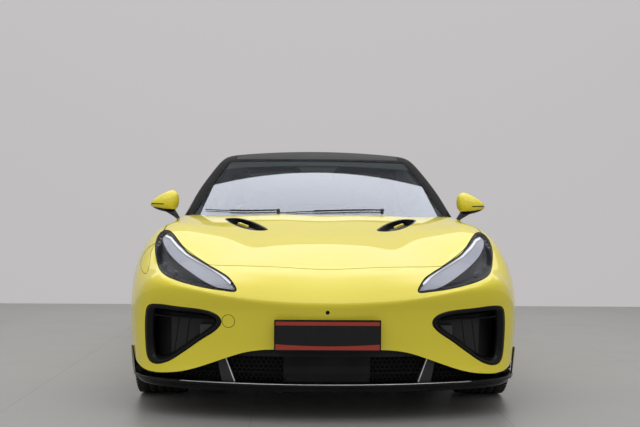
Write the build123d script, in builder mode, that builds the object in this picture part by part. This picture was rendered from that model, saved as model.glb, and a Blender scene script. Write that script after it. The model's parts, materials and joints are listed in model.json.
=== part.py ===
"""A two-door electric coupe as an assembly of separate panels, glass, seats, running gear and wheels.

Millimetres. +Z is up, the nose points along -Y and the car's left side is +X.
The origin is on the ground, under the middle of the car.
"""

import os
from math import cos, radians, sin

from build123d import *

os.makedirs("parts", exist_ok=True)

# driving dimensions
front_overhang = 890
wheelbase = 2770
rear_overhang = 1055
body_width = 1979
height = 1415
ground_clearance = 130

tyre_radius = 340
tyre_width = 245
tyre_inset = 25  # from the body's widest point to the tyre's outer face
rim_radius = 244
rim_wall = 9
disc_radius = 178
arch_radius = 385  # wheel openings in the fenders and quarter panels
liner_radius = 402  # wheel well behind them
steer_inset = 52  # from the wheel's middle plane inwards to the steering axis

skin = 25  # outer panels
roof_wall = 34
glass = 5
gap = 5  # round doors, hood and trunk lid
fit = 0.05  # running clearance of a pin in its bore
rest = 0.3  # under a soft part
pin_radius = 10

liner_wall = 4
plate_width = 480
plate_height = 139
plate_z = 404
rear_plate_z = 560
plate_depth = 12
mirror_tip_x = 1068
mirror_width = 178
mirror_height = 127
mirror_depth = 90
mirror_z = 1050
door_hinge_heights = (420, 770)
hinge_pin_length = 60

battery_x = 640
battery_corner = 90
disc_thickness = 24
disc_u = -26  # the disc's inner face, outboard of the wheel's middle plane
hub_radius = 72
spoke_u = 40
spoke_count = 10
spindle_radius = 28
spindle_length = 56
upright_height = 252
arm_drop = 18
rail_z = 330
jack_z = 128
tower_top_z = 700
subframe_x = 560
motor_x = 230
motor_z = 245
motor_corner = 60
strut_radius = 24
tub_x = 560
tub_floor_z = 520
tub_top_z = 820
tub_wall = 6
frunk_top_z = 690
shelf_z = 905
wiper_width = 16
wiper_depth = 12
wiper_lines = (  # hinge and tip of each: x, distance behind the nose
    ((380, 1560), (-260, 1490)),
    ((-250, 1520), (-700, 1690)),
)
steering_x = 370
steering_z = 800
steering_radius = 178
steering_grip = 15
steering_boss_radius = 62
steering_boss_depth = 42
steering_spoke = 16
column_angle = 20
dash_x = 680
console_x = 110
console_top_z = 520
seat_x = 372
seat_width = 500
rear_seat_x = 600

# places along the car
nose_y = -(front_overhang + wheelbase + rear_overhang) / 2
front_axle_y = nose_y + front_overhang
rear_axle_y = front_axle_y + wheelbase
tail_y = rear_axle_y + rear_overhang
fender_front_y = front_axle_y - 295  # seam between bumper and fender
firewall_y = front_axle_y + 550
cowl_y = front_axle_y + 500  # hood's rear edge on the centre line
cowl_corner_y = front_axle_y + 702
door_front_y = front_axle_y + 610
door_hinge_y = door_front_y + 45
door_rear_y = rear_axle_y - 810
mirror_y = door_front_y + 340
steering_y = firewall_y + 620
seat_y = firewall_y + 780
battery_y = (firewall_y + 80, rear_axle_y - 480)
jack_y = (firewall_y + 140, rear_axle_y - 560)
bulkhead_y = rear_axle_y - 90
rear_seam_y = rear_axle_y + 640  # seam between quarter panel and rear bumper
lid_front_y = rear_axle_y + 555
lid_front_gap = 16
cowl_gap = 12
skirt_front_y = front_axle_y + 394
skirt_rear_y = rear_axle_y - 385

# places across the car
half_width = body_width / 2
wheel_x = half_width - tyre_inset - tyre_width / 2
steer_x = wheel_x - steer_inset
front_well_x = wheel_x - 286  # inner end of a front wheel well, clear of the steered tyre
rear_well_x = wheel_x - tyre_width / 2 - 25
door_hinge_x = half_width - 84
door_hinge_radius = 75  # rounded leading edge of a door, about its hinge axis
door_inner_x = half_width - 174
pillar_x = door_inner_x - 7
hood_side_x = half_width - 144
lid_half_width = 620
rail_x = 530  # outer faces of the front rails
frunk_x = rail_x - 70
tunnel_x = 460  # room for the cells between the floor's side beams
jack_size = 90

# heights
splitter_z = 185
sill_z = 257  # seam between sill and door
door_bottom_z = sill_z + gap
floor_z = 276
floor_wall = 14
belt_z = 945
pillar_top_z = 905
lamp_band_z = (772, 861)
diffuser_z = 330
hub_z = tyre_radius
hood_pass_z = 830  # above it the hood's rear corner passes over the door's front corner
hood_hinge_y = front_axle_y + 760
hood_hinge_z = 915
hood_hinge_x = 700
lid_hinge_y = lid_front_y - 65
lid_hinge_z = 955
lid_hinge_x = 480
arm_width = 12  # hinge arms


def section_table():
    """Cross sections of the lower body: y, sill x, widest x and z, shoulder x and z, crown z."""
    w = half_width
    return [
        (nose_y, w - 40, w - 12, 420, w - 190, 535, 552),
        (nose_y + 230, w - 30, w - 8, 480, w - 185, 648, 694),
        (nose_y + 450, w - 27, w - 4, 560, w - 155, 757, 763),
        (front_axle_y - 190, w - 27, w, 630, w - 154, 859, 829),
        (front_axle_y + 110, w - 35, w, 650, w - 128, 906, 893),
        (cowl_y, w - 70, w - 25, 640, w - 105, 930, 962),
        (door_front_y + 600, w - 85, w - 38, 620, w - 110, 938, 985),
        (rear_axle_y - 660, w - 75, w - 22, 620, w - 100, 946, 990),
        (rear_axle_y, w - 40, w, 640, w - 95, 955, 985),
        (rear_axle_y + 560, w - 45, w - 8, 650, w - 120, 952, 990),
        (tail_y, w - 70, w - 40, 600, w - 190, 930, 985),
    ]


def lower_body(inset):
    """The body below its windows as one solid, drawn in by inset all round."""
    with BuildPart() as solid:
        for y, sill_x, wide_x, wide_z, shoulder_x, shoulder_z, crown_z in section_table():
            low = (sill_x - inset, ground_clearance + inset)
            wide = (wide_x - inset, wide_z)
            high = (shoulder_x - inset, shoulder_z - inset)
            with BuildSketch(Plane.XZ.offset(-y)):
                with BuildLine():
                    Line((-low[0], low[1]), low)
                    for side in (1, -1):
                        TangentArc((side * wide[0], wide[1]), (side * low[0], low[1]), tangent=(0, -1))
                        TangentArc((side * wide[0], wide[1]), (side * high[0], high[1]), tangent=(0, 1))
                    ThreePointArc((-high[0], high[1]), (0, crown_z - inset), high)
                make_face()
        loft()
        # plan view: curved nose and tail with rounded corners
        with BuildSketch(Plane.XY):
            w = half_width - inset
            with BuildLine():
                for end, way in ((nose_y + plate_depth + inset, 1), (tail_y - plate_depth - inset, -1)):
                    near = (w - 290, end + way * 130)
                    mid = (w - 94, end + way * 270)
                    far = (w, end + way * 620)
                    ThreePointArc((-near[0], near[1]), (0, end), near)
                    for side in (1, -1):
                        ThreePointArc(
                            (side * near[0], near[1]), (side * mid[0], mid[1]), (side * far[0], far[1])
                        )
                straight_front_y = nose_y + plate_depth + inset + 620
                straight_rear_y = tail_y - plate_depth - inset - 620
                for side in (1, -1):
                    Line((side * w, straight_front_y), (side * w, straight_rear_y))
            make_face()
        extrude(amount=height, mode=Mode.INTERSECT)
        # side view: the tail slopes in above and below the bumper
        with BuildSketch(Plane.YZ.offset(-body_width)):
            with BuildLine():
                end = tail_y - plate_depth - inset
                Polyline(
                    (nose_y - 100, 0),
                    (end - 160, 0),
                    (end, 430),
                    (end, 700),
                    (end - 75, 1010),
                    (nose_y - 100, 1010),
                    close=True,
                )
            make_face()
        extrude(amount=2 * body_width, mode=Mode.INTERSECT)
    return solid.part


def greenhouse(inset):
    """Windows, pillars and roof as one solid, drawn in by inset."""
    levels = [
        # z, front corner x, y, front centre y, middle x, y, rear corner x, y, rear centre y
        (905, 850, nose_y + 1620, nose_y + 1335, 825, nose_y + 2500, 660, nose_y + 4200, nose_y + 4401),
        (1430, 574, nose_y + 2386, nose_y + 2335, 560, nose_y + 2750, 470, nose_y + 2960, nose_y + 3012),
    ]
    with BuildPart() as solid:
        for z, front_x, front_y, front_mid, mid_x, mid_y, rear_x, rear_y, rear_mid in levels:
            with BuildSketch(Plane.XY.offset(z)):
                with BuildLine():
                    ThreePointArc((-front_x, front_y), (0, front_mid), (front_x, front_y))
                    ThreePointArc((-rear_x, rear_y), (0, rear_mid), (rear_x, rear_y))
                    for side in (1, -1):
                        Polyline(
                            (side * front_x, front_y), (side * mid_x, mid_y), (side * rear_x, rear_y)
                        )
                make_face()
                if inset:
                    offset(amount=-inset * 1.25, kind=Kind.INTERSECTION, mode=Mode.REPLACE)
        loft(ruled=True)
        with BuildSketch(Plane.YZ.offset(-body_width)):
            with BuildLine():
                roof = ThreePointArc(
                    (nose_y + 1900, height - 165 - inset),
                    (nose_y + 2650, height - inset),
                    (nose_y + 3500, height - 185 - inset),
                )
                Polyline(
                    roof @ 1,
                    (nose_y + 4600, 950),
                    (nose_y + 4600, 850),
                    (nose_y + 1200, 850),
                    (nose_y + 1200, 900),
                    roof @ 0,
                )
            make_face()
        extrude(amount=2 * body_width, mode=Mode.INTERSECT)
        with BuildSketch(Plane.XZ.offset(-tail_y)):
            with BuildLine():
                crown = ThreePointArc(
                    (-1000, height - 50 - inset), (0, height - inset), (1000, height - 50 - inset)
                )
                Polyline(crown @ 0, (-1000, 800), (1000, 800), crown @ 1)
            make_face()
        extrude(amount=body_width * 3, mode=Mode.INTERSECT)
    return solid.part


def hollow(outside, inside):
    """What is left of a solid when its drawn-in copy is taken away."""
    with BuildPart() as wall:
        add(outside)
        add(inside, mode=Mode.SUBTRACT)
    return wall.part


body = lower_body(0)
body_inside = lower_body(skin)
shell = hollow(body, body_inside)
cabin = greenhouse(0)
cabin_glass = hollow(cabin, greenhouse(glass))
cabin_wall = hollow(cabin, greenhouse(roof_wall))


# outlines that cut the skin into panels
def box(x, y, z, both_sides=False):
    """A block from its limits along each axis, on one side of the car or on both."""
    with BuildPart() as block:
        with BuildSketch(Plane.XY.offset(z[0])):
            with Locations(((x[0] + x[1]) / 2, (y[0] + y[1]) / 2)):
                Rectangle(x[1] - x[0], y[1] - y[0])
        extrude(amount=z[1] - z[0])
        if both_sides:
            mirror(about=Plane.YZ)
    return block.part


def wheel_space(y, radius, inner_x):
    """The round space about an axle, on both sides."""
    with BuildPart() as space:
        with BuildSketch(Plane.YZ.offset(inner_x)):
            with Locations((y, tyre_radius)):
                Circle(radius)
        extrude(amount=body_width - inner_x)
        mirror(about=Plane.YZ)
    return space.part


def hood_outline(grow, rear_grow):
    """Seen from above: lamps at the front corners, the cowl behind."""
    tip = (569 + grow * 0.5, nose_y + 330 - grow)
    corner = (hood_side_x + grow, nose_y + 730 - grow * 0.3)
    rear = (hood_side_x + grow, cowl_corner_y + rear_grow)
    with BuildPart() as prism:
        with BuildSketch(Plane.XY.offset(500)):
            with BuildLine():
                ThreePointArc((-tip[0], tip[1]), (0, nose_y + 230 - grow), tip)
                ThreePointArc((-rear[0], rear[1]), (0, cowl_y + rear_grow), rear)
                for side in (1, -1):
                    Polyline(*[(side * x, y) for x, y in (tip, corner, rear)])
            make_face()
        extrude(amount=700)
    return prism.part


def lid_outline(grow, front_grow):
    """Seen from above: the trunk lid with the drop behind it."""
    side = lid_half_width + grow
    corner_y = lid_front_y - 30 - front_grow
    with BuildPart() as prism:
        with BuildSketch(Plane.XY.offset(lamp_band_z[1] + gap - grow)):
            with BuildLine():
                ThreePointArc((-side, corner_y), (0, lid_front_y - front_grow), (side, corner_y))
                Polyline((side, corner_y), (side, tail_y + 50), (-side, tail_y + 50), (-side, corner_y))
            make_face()
        extrude(amount=400)
    return prism.part


def door_reach(grow):
    """Everything nearer to the left door's hinge axis than its trailing edge."""
    with BuildPart() as prism:
        with BuildSketch(Plane.XY):
            with Locations((door_hinge_x, door_hinge_y)):
                Circle(door_rear_y - door_hinge_y + grow)
        extrude(amount=height)
    return prism.part


def door_outline(grow):
    """Seen from above, left side: leading edge rounded about the hinge, trailing edge on an arc about it."""
    reach = door_rear_y - door_hinge_y + grow
    inner_x = door_inner_x - grow
    with BuildPart() as prism:
        with BuildSketch(Plane.XY.offset(door_bottom_z - grow)):
            with Locations((door_hinge_x, door_hinge_y)):
                Circle(reach)
            with Locations((inner_x + body_width / 2, door_hinge_y + body_width)):
                Rectangle(body_width, 2 * body_width, mode=Mode.INTERSECT)
            with Locations((door_hinge_x, door_hinge_y)):
                Circle(door_hinge_radius + grow)
        extrude(amount=belt_z + 100 - door_bottom_z)
        # under the hood's rear corner the door's front corner is cut away
        with BuildSketch(Plane.XY.offset(hood_pass_z + grow)):
            with Locations((hood_side_x - 95 + gap - grow, door_hinge_y)):
                Rectangle(200, 170 - 2 * grow)
        extrude(amount=height, mode=Mode.SUBTRACT)
        # and the rounded leading edge stays inside that corner
        with BuildSketch(Plane.XY.offset(hood_pass_z + grow)):
            with Locations((door_hinge_x, door_hinge_y - 100)):
                Rectangle(400, 200)
            with Locations((door_hinge_x, door_hinge_y)):
                Circle(door_hinge_x - hood_side_x - gap + grow, mode=Mode.SUBTRACT)
        extrude(amount=height, mode=Mode.SUBTRACT)
    return prism.part


with BuildPart() as lamp_space:
    # seen from the front: pointed towards the grille, tall at the fender
    with BuildSketch(Plane.XZ.offset(-(nose_y + 20))):
        with BuildLine():
            ThreePointArc((427, 600), (614, 722), (819, 866))
            Polyline((819, 866), (857, 852), (856, 782), (832, 710), (808, 682))
            ThreePointArc((808, 682), (640, 627), (427, 600))
        make_face()
    extrude(amount=-750)
    mirror(about=Plane.YZ)

with BuildPart() as grille_space:
    with BuildSketch(Plane.XZ.offset(-(nose_y - 60))):
        with BuildLine():
            Polyline((-560, 200), (560, 200), (690, 262), (470, 338), (-470, 338), (-690, 262), close=True)
        make_face()
    extrude(amount=-400)

with BuildPart() as intake_space:
    with BuildSketch(Plane.XZ.offset(-(nose_y - 60))):
        with BuildLine():
            Polyline(
                (495, 450),
                (600, 486),
                (831, 505),
                (872, 450),
                (879, 380),
                (860, 260),
                (816, 229),
                (700, 300),
                (495, 428),
                close=True,
            )
        make_face()
    extrude(amount=-560)
    mirror(about=Plane.YZ)

with BuildPart() as windshield_space:
    # seen from above: between the two windshield pillars
    with BuildSketch(Plane.XY.offset(880)):
        with BuildLine():
            foot = (772, nose_y + 1662)
            top = (582, nose_y + 2205)
            ThreePointArc((-top[0], top[1]), (0, nose_y + 2128), top)
            for side in (1, -1):
                Polyline((side * top[0], top[1]), (side * foot[0], foot[1]), (side * 700, nose_y + 1200))
            Line((-700, nose_y + 1200), (700, nose_y + 1200))
        make_face()
    extrude(amount=height)

with BuildPart() as backlight_space:
    # seen from above: the rear window
    with BuildSketch(Plane.XY.offset(880)):
        with BuildLine():
            top = (505, nose_y + 3215)
            foot = (590, nose_y + 4120)
            ThreePointArc((-top[0], top[1]), (0, nose_y + 3255), top)
            for side in (1, -1):
                Polyline((side * top[0], top[1]), (side * foot[0], foot[1]), (side * foot[0], nose_y + 4500))
            Line((-foot[0], nose_y + 4500), (foot[0], nose_y + 4500))
        make_face()
    extrude(amount=height)

with BuildPart() as side_window_space:
    # seen from the side: door window and quarter window together
    with BuildSketch(Plane.YZ.offset(380)):
        with BuildLine():
            rail = ThreePointArc(
                (nose_y + 2300, height - 88), (nose_y + 2700, height - 58), (nose_y + 3200, height - 105)
            )
            Polyline(
                rail @ 1,
                (nose_y + 3560, height - 250),
                (nose_y + 3620, belt_z + 45),
                (nose_y + 3300, belt_z),
                (nose_y + 1762, belt_z),
                rail @ 0,
            )
        make_face()
    extrude(amount=body_width)

with BuildPart() as roof_space:
    # seen from above: the roof between its rails
    with BuildSketch(Plane.XY.offset(1000)):
        with BuildLine():
            front = (520, nose_y + 2262)
            back = (462, nose_y + 3150)
            ThreePointArc((-front[0], front[1]), (0, nose_y + 2205), front)
            ThreePointArc((-back[0], back[1]), (0, nose_y + 3185), back)
            for side in (1, -1):
                Line((side * front[0], front[1]), (side * back[0], back[1]))
        make_face()
    extrude(amount=height)

full_x = (-body_width, body_width)
full_y = (nose_y - 50, tail_y + 50)
front_arches = wheel_space(front_axle_y, arch_radius, front_well_x)
rear_arches = wheel_space(rear_axle_y, arch_radius, rear_well_x)
front_wells = wheel_space(front_axle_y, liner_radius + liner_wall, front_well_x)
rear_wells = wheel_space(rear_axle_y, liner_radius + liner_wall, rear_well_x)
hood_cut = hood_outline(0, 0)
hood_gap = hood_outline(gap, cowl_gap)
lid_cut = lid_outline(0, 0)
lid_gap = lid_outline(gap, lid_front_gap)
with BuildPart() as door_gaps:
    add(door_outline(gap))
    mirror(about=Plane.YZ)


def panel(source, keep, cuts=()):
    """A piece of the skin: the source inside one region, less the others."""
    with BuildPart() as piece:
        add(source)
        add(keep, mode=Mode.INTERSECT)
        for cut in cuts:
            add(cut, mode=Mode.SUBTRACT)
    return piece.part


def arm_plate(x, y, z, points):
    """A flat hinge arm seen from the side, its points measured from the hinge axis."""
    with BuildPart() as arm:
        with BuildSketch(Plane.YZ.offset(x)):
            with BuildLine():
                Polyline(*[(y + dy, z + dz) for dy, dz in points], close=True)
            make_face()
        extrude(amount=arm_width)
    return arm.part


def rod(start, end, radius):
    """A round bar between two points."""
    along = Vector(*end) - Vector(*start)
    with BuildPart() as bar:
        with BuildSketch(Plane(origin=start, z_dir=along)):
            Circle(radius)
        extrude(amount=along.length)
    return bar.part


pieces = {}

# front skin
hood_arm = (
    (-14, 14),
    (14, 14),
    (14, -40),
    (-20, -72),
    (-150, -72),
    (-150, 15),
    (-120, 15),
    (-104, -44),
    (-40, -44),
    (-14, -30),
)
with BuildPart() as hood_panel:
    add(panel(shell, hood_cut))
    for x in (hood_hinge_x, -hood_hinge_x - arm_width):
        add(arm_plate(x, hood_hinge_y, hood_hinge_z, hood_arm))
    bore_end = hood_hinge_x + 20
    add(
        rod(
            (-bore_end, hood_hinge_y, hood_hinge_z),
            (bore_end, hood_hinge_y, hood_hinge_z),
            pin_radius + fit,
        ),
        mode=Mode.SUBTRACT,
    )
pieces["hood_panel"] = hood_panel

with BuildPart() as front_bumper:
    nose = box(full_x, (full_y[0], fender_front_y), (splitter_z, height))
    add(panel(shell, nose, (hood_gap, front_arches, lamp_space.part, intake_space.part, grille_space.part)))
pieces["front_bumper"] = front_bumper

with BuildPart() as front_fenders:
    sides = box((half_width - 139, body_width), (fender_front_y, door_hinge_y), (sill_z, height), True)
    add(panel(shell, sides, (hood_gap, front_arches, lamp_space.part, door_gaps.part)))
pieces["front_fenders"] = front_fenders

with BuildPart() as headlights:
    add(panel(shell, lamp_space.part, (hood_gap,)))
pieces["headlights"] = headlights

with BuildPart() as front_grilles:
    add(panel(shell, grille_space.part))
    add(panel(shell, intake_space.part, (front_arches,)))
pieces["front_grilles"] = front_grilles

with BuildPart() as front_splitter:
    tray = box(full_x, (full_y[0], skirt_front_y), (0, splitter_z))
    add(panel(shell, tray, (front_wells,)))
    add(panel(shell, box((-700, 700), (skirt_front_y, firewall_y), (0, splitter_z)), (front_wells,)))
pieces["front_splitter"] = front_splitter

with BuildPart() as number_plates:
    for face_y, inward, z in ((nose_y, -1, plate_z), (tail_y, 1, rear_plate_z)):
        with BuildSketch(Plane.XZ.offset(-face_y)):
            with Locations((0, z)):
                Rectangle(plate_width, plate_height)
        extrude(amount=inward * 120)
    add(body, mode=Mode.SUBTRACT)
pieces["number_plates"] = number_plates

# doors
door_block = panel(body, door_outline(0), (box(full_x, full_y, (belt_z, height)),))
glass_top = panel(cabin_glass, side_window_space.part)
for side, name in ((1, "left"), (-1, "right")):
    with BuildPart() as door_panel:
        add(door_block)
        for z in door_hinge_heights:
            pocket_y = (door_hinge_y - 90, door_hinge_y + pin_radius + 10)
            pocket_z = (z - arm_width / 2 - gap, z + arm_width / 2 + gap)
            pocket_x = (door_inner_x - 5, door_hinge_x + pin_radius + 10)
            add(box(pocket_x, pocket_y, pocket_z), mode=Mode.SUBTRACT)
            bore = (door_hinge_x, door_hinge_y, z - hinge_pin_length / 2 - gap)
            bore_end = (door_hinge_x, door_hinge_y, z + hinge_pin_length / 2 + gap)
            add(rod(bore, bore_end, pin_radius + fit), mode=Mode.SUBTRACT)
        if side < 0:
            mirror(about=Plane.YZ, mode=Mode.REPLACE)
    pieces[f"{name}_door"] = door_panel

    with BuildPart() as door_glass:
        add(panel(glass_top, door_reach(0), (box(full_x, full_y, (0, belt_z)),)))
        if side < 0:
            mirror(about=Plane.YZ, mode=Mode.REPLACE)
    pieces[f"{name}_door_glass"] = door_glass

    with BuildPart() as door_mirror:
        with BuildSketch(Plane.XZ.offset(-mirror_y)):
            with Locations((mirror_tip_x - mirror_width / 2, mirror_z)):
                RectangleRounded(mirror_width, mirror_height, 40)
        extrude(amount=-mirror_depth / 2, both=True)
        stalk_x = mirror_tip_x - mirror_width
        add(box((stalk_x - 10, stalk_x + 60), (mirror_y - 25, mirror_y + 25), (belt_z - 60, mirror_z)))
        add(door_block, mode=Mode.SUBTRACT)
        if side < 0:
            mirror(about=Plane.YZ, mode=Mode.REPLACE)
    pieces[f"{name}_mirror"] = door_mirror

# rear skin
with BuildPart() as quarter_panels:
    behind_doors = (door_hinge_y + 200, rear_seam_y)
    add(panel(shell, box(full_x, behind_doors, (sill_z, height))))
    add(panel(shell, box(full_x, (rear_seam_y, full_y[1]), (lamp_band_z[1], height))))
    wall_y = (behind_doors[0], rear_axle_y - liner_radius - liner_wall)
    add(panel(body, box((door_inner_x, body_width), wall_y, (sill_z, belt_z), True)))
    pocket_x = (lid_hinge_x - 7, lid_hinge_x + arm_width + 28)
    pocket = box(pocket_x, (lid_hinge_y - 65, lid_hinge_y + 22), (lamp_band_z[1], lid_hinge_z + 19), True)
    for cut in (rear_arches, door_gaps.part, cabin, lid_gap, pocket):
        add(cut, mode=Mode.SUBTRACT)
pieces["quarter_panels"] = quarter_panels

with BuildPart() as side_skirts:
    skirt = box((700, body_width), (skirt_front_y, skirt_rear_y), (0, sill_z), True)
    add(panel(shell, skirt, (front_wells, rear_wells)))
    for y in jack_y:
        room_x = (pillar_x - 52, pillar_x + 2)
        room_y = (y - jack_size / 2 - 2, y + jack_size / 2 + 2)
        add(box(room_x, room_y, (0, ground_clearance + skin), True), mode=Mode.SUBTRACT)
pieces["side_skirts"] = side_skirts

band = box(full_x, (rear_axle_y + 760, full_y[1]), lamp_band_z)
with BuildPart() as rear_bumper:
    tail = box(full_x, (rear_seam_y, full_y[1]), (diffuser_z, lamp_band_z[1]))
    add(panel(shell, tail, (band, rear_arches)))
pieces["rear_bumper"] = rear_bumper

with BuildPart() as tail_light:
    add(panel(shell, band))
pieces["tail_light"] = tail_light

with BuildPart() as rear_diffuser:
    add(panel(shell, box(full_x, (skirt_rear_y, rear_seam_y), (0, sill_z)), (rear_wells,)))
    add(panel(shell, box(full_x, (rear_seam_y, full_y[1]), (0, diffuser_z))))
pieces["rear_diffuser"] = rear_diffuser

lid_arm = (
    (-18, 9),
    (-6, 14),
    (6, 14),
    (12, 9),
    (12, -8),
    (-3, -20),
    (-3, -56),
    (95, -56),
    (95, 12),
    (130, 12),
    (130, -82),
    (-18, -82),
)
with BuildPart() as trunk_lid:
    add(panel(shell, lid_cut, (cabin,)))
    for x in (lid_hinge_x, -lid_hinge_x - arm_width):
        add(arm_plate(x, lid_hinge_y, lid_hinge_z, lid_arm))
    bore_end = lid_hinge_x + 20
    add(
        rod((-bore_end, lid_hinge_y, lid_hinge_z), (bore_end, lid_hinge_y, lid_hinge_z), pin_radius + fit),
        mode=Mode.SUBTRACT,
    )
pieces["trunk_lid"] = trunk_lid

# greenhouse
with BuildPart() as windshield:
    add(panel(cabin_glass, windshield_space.part, (body,)))
pieces["windshield"] = windshield

with BuildPart() as rear_windows:
    add(panel(cabin_glass, backlight_space.part, (body,)))
    with BuildPart(mode=Mode.PRIVATE) as quarter_glass:
        add(panel(glass_top, box(full_x, full_y, (0, height)), (door_reach(gap + 2), body)))
        mirror(about=Plane.YZ)
    add(quarter_glass.part)
pieces["rear_windows"] = rear_windows

with BuildPart() as roof_panel:
    add(panel(cabin_wall, roof_space.part))
pieces["roof_panel"] = roof_panel

with BuildPart() as roof_rails:
    add(panel(cabin_wall, box(full_x, full_y, (belt_z + gap, height + 10))))
    pillar_foot = box(
        (pillar_x - 55, pillar_x), (nose_y + 1690, nose_y + 1750), (pillar_top_z, belt_z + 25), True
    )
    add(panel(cabin, pillar_foot))
    add(roof_space.part, mode=Mode.SUBTRACT)
    add(windshield_space.part, mode=Mode.SUBTRACT)
    add(backlight_space.part, mode=Mode.SUBTRACT)
    add(side_window_space.part, mode=Mode.SUBTRACT)
    mirror_window = mirror(side_window_space.part, about=Plane.YZ, mode=Mode.PRIVATE)
    add(mirror_window, mode=Mode.SUBTRACT)
    add(body, mode=Mode.SUBTRACT)
pieces["roof_rails"] = roof_rails

# structure
with BuildPart() as floor_pan:
    floor_end_y = bulkhead_y - 330
    sheet_z = (floor_z - floor_wall, floor_z)
    rear_x = (-rear_well_x + 10, rear_well_x - 10)
    add(box((-pillar_x + 30, pillar_x - 30), (firewall_y + 10, floor_end_y), sheet_z))
    add(box(rear_x, (floor_end_y, bulkhead_y), sheet_z))
    sill_y = (firewall_y + 10, skirt_rear_y)
    beam = box((pillar_x - 58, body_width), sill_y, (0, sill_z), True)
    add(panel(body_inside, beam, (front_wells, rear_wells)))
    add(box((pillar_x - 58, pillar_x), (firewall_y + 10, floor_end_y), (sill_z - 10, floor_z), True))
    add(box(rear_x, (bulkhead_y, bulkhead_y + 10), (sheet_z[0], pillar_top_z - 5)))
    tunnel_y = (firewall_y + 75, bulkhead_y - 385)
    add(box((-tunnel_x, tunnel_x), tunnel_y, (ground_clearance + 6, sheet_z[0])), mode=Mode.SUBTRACT)
    for y in jack_y:
        pad_y = (y - jack_size / 2, y + jack_size / 2)
        add(box((pillar_x - 50, pillar_x), pad_y, (jack_z, ground_clearance + 60), True))
pieces["floor_pan"] = floor_pan

with BuildPart() as battery_pack:
    add(box((-battery_x, battery_x), battery_y, (ground_clearance + 8, floor_z - floor_wall)))
    chamfer(battery_pack.edges().filter_by(Axis.Z), length=battery_corner)
pieces["battery_pack"] = battery_pack

with BuildPart() as front_frame:
    add(box((-pillar_x, pillar_x), (firewall_y, firewall_y + 10), (ground_clearance + skin, pillar_top_z)))
    add(box((rail_x - 80, rail_x), (nose_y + 180, firewall_y), (rail_z, rail_z + 120), True))
    add(box((-rail_x - 60, rail_x + 60), (nose_y + 150, nose_y + 190), (rail_z + 20, rail_z + 110)))
    tower_y = (front_axle_y - 125, front_axle_y + 125)
    add(box((rail_x - 60, rail_x), tower_y, (rail_z + 110, tower_top_z), True))
    # an open tub for luggage between the rails
    tub_y = (nose_y + 420, firewall_y - 60)
    tub_z = (rail_z + 120, frunk_top_z)
    inside_x = frunk_x - tub_wall
    inside_y = (tub_y[0] + tub_wall, tub_y[1] - tub_wall)
    add(box((-frunk_x, frunk_x), tub_y, tub_z))
    add(box((-inside_x, inside_x), inside_y, (tub_z[0] + tub_wall, height)), mode=Mode.SUBTRACT)
    add(box((pillar_x - 63, pillar_x), (firewall_y, door_hinge_y + 55), (floor_z, pillar_top_z), True))
    add(box((pillar_x - 63, pillar_x), (firewall_y, nose_y + 1750), (pillar_top_z - 45, pillar_top_z), True))
    bracket = box(
        (hood_hinge_x + arm_width + 6, pillar_x - 58),
        (hood_hinge_y - 14, hood_hinge_y + 14),
        (pillar_top_z - 45, hood_hinge_z + 14),
        True,
    )
    add(bracket)
    for side in (1, -1):
        pin_start = (side * (hood_hinge_x - 5), hood_hinge_y, hood_hinge_z)
        pin_end = (side * (pillar_x - 50), hood_hinge_y, hood_hinge_z)
        add(rod(pin_start, pin_end, pin_radius))
        for z in door_hinge_heights:
            with BuildPart(mode=Mode.PRIVATE) as door_hinge:
                y = (door_hinge_y - pin_radius - 4, door_hinge_y + pin_radius + 4)
                add(box((pillar_x - 5, door_hinge_x), y, (z - arm_width / 2, z + arm_width / 2)))
                axis = (door_hinge_x, door_hinge_y)
                add(rod((*axis, z - arm_width / 2), (*axis, z + arm_width / 2), pin_radius + 4))
                add(rod((*axis, z - hinge_pin_length / 2), (*axis, z + hinge_pin_length / 2), pin_radius))
                if side < 0:
                    mirror(about=Plane.YZ, mode=Mode.REPLACE)
            add(door_hinge.part)
pieces["front_frame"] = front_frame

with BuildPart() as cowl_panel:
    strip = box((-hood_side_x, hood_side_x), (cowl_y - 50, cowl_corner_y + 60), (880, height))
    slot_x = (hood_hinge_x - 7, hood_hinge_x + arm_width + 7)
    slot = box(slot_x, (cowl_y, cowl_corner_y + 100), (850, height), True)
    add(panel(shell, strip, (hood_gap, cabin, slot, door_gaps.part)))
pieces["cowl_panel"] = cowl_panel

with BuildPart() as trunk_tub:
    tub_y = (bulkhead_y + 10, rear_axle_y + 900)
    inside_x = tub_x - tub_wall
    inside_y = (tub_y[0] + tub_wall, tub_y[1] - tub_wall)
    add(box((-tub_x, tub_x), tub_y, (tub_floor_z, tub_top_z)))
    add(box((-inside_x, inside_x), inside_y, (tub_floor_z + tub_wall, height)), mode=Mode.SUBTRACT)
    add(box((-tub_x, tub_x), (tub_y[0], tub_y[0] + 2 * tub_wall), (tub_floor_z, shelf_z)))
    add(box((-rear_well_x + 30, rear_well_x - 30), (tub_y[0], lid_hinge_y - 45), (shelf_z - 10, shelf_z)))
    for side in (1, -1):
        post_x = sorted((side * (lid_hinge_x + arm_width + 7), side * (lid_hinge_x + arm_width + 23)))
        add(box(post_x, (lid_hinge_y - 55, lid_hinge_y + 13), (shelf_z - 10, lid_hinge_z + 13)))
        pin_start = (side * (lid_hinge_x - 5), lid_hinge_y, lid_hinge_z)
        add(rod(pin_start, (side * (lid_hinge_x + arm_width + 15), lid_hinge_y, lid_hinge_z), pin_radius))
pieces["trunk_tub"] = trunk_tub

with BuildPart() as arch_liners:
    for y, inner_x in ((front_axle_y, front_well_x), (rear_axle_y, rear_well_x)):
        ring = hollow(
            wheel_space(y, liner_radius + liner_wall, inner_x), wheel_space(y, liner_radius, inner_x)
        )
        add(panel(body_inside, ring, (box(full_x, full_y, (0, sill_z - 60)), front_splitter.part)))
pieces["arch_liners"] = arch_liners

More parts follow.
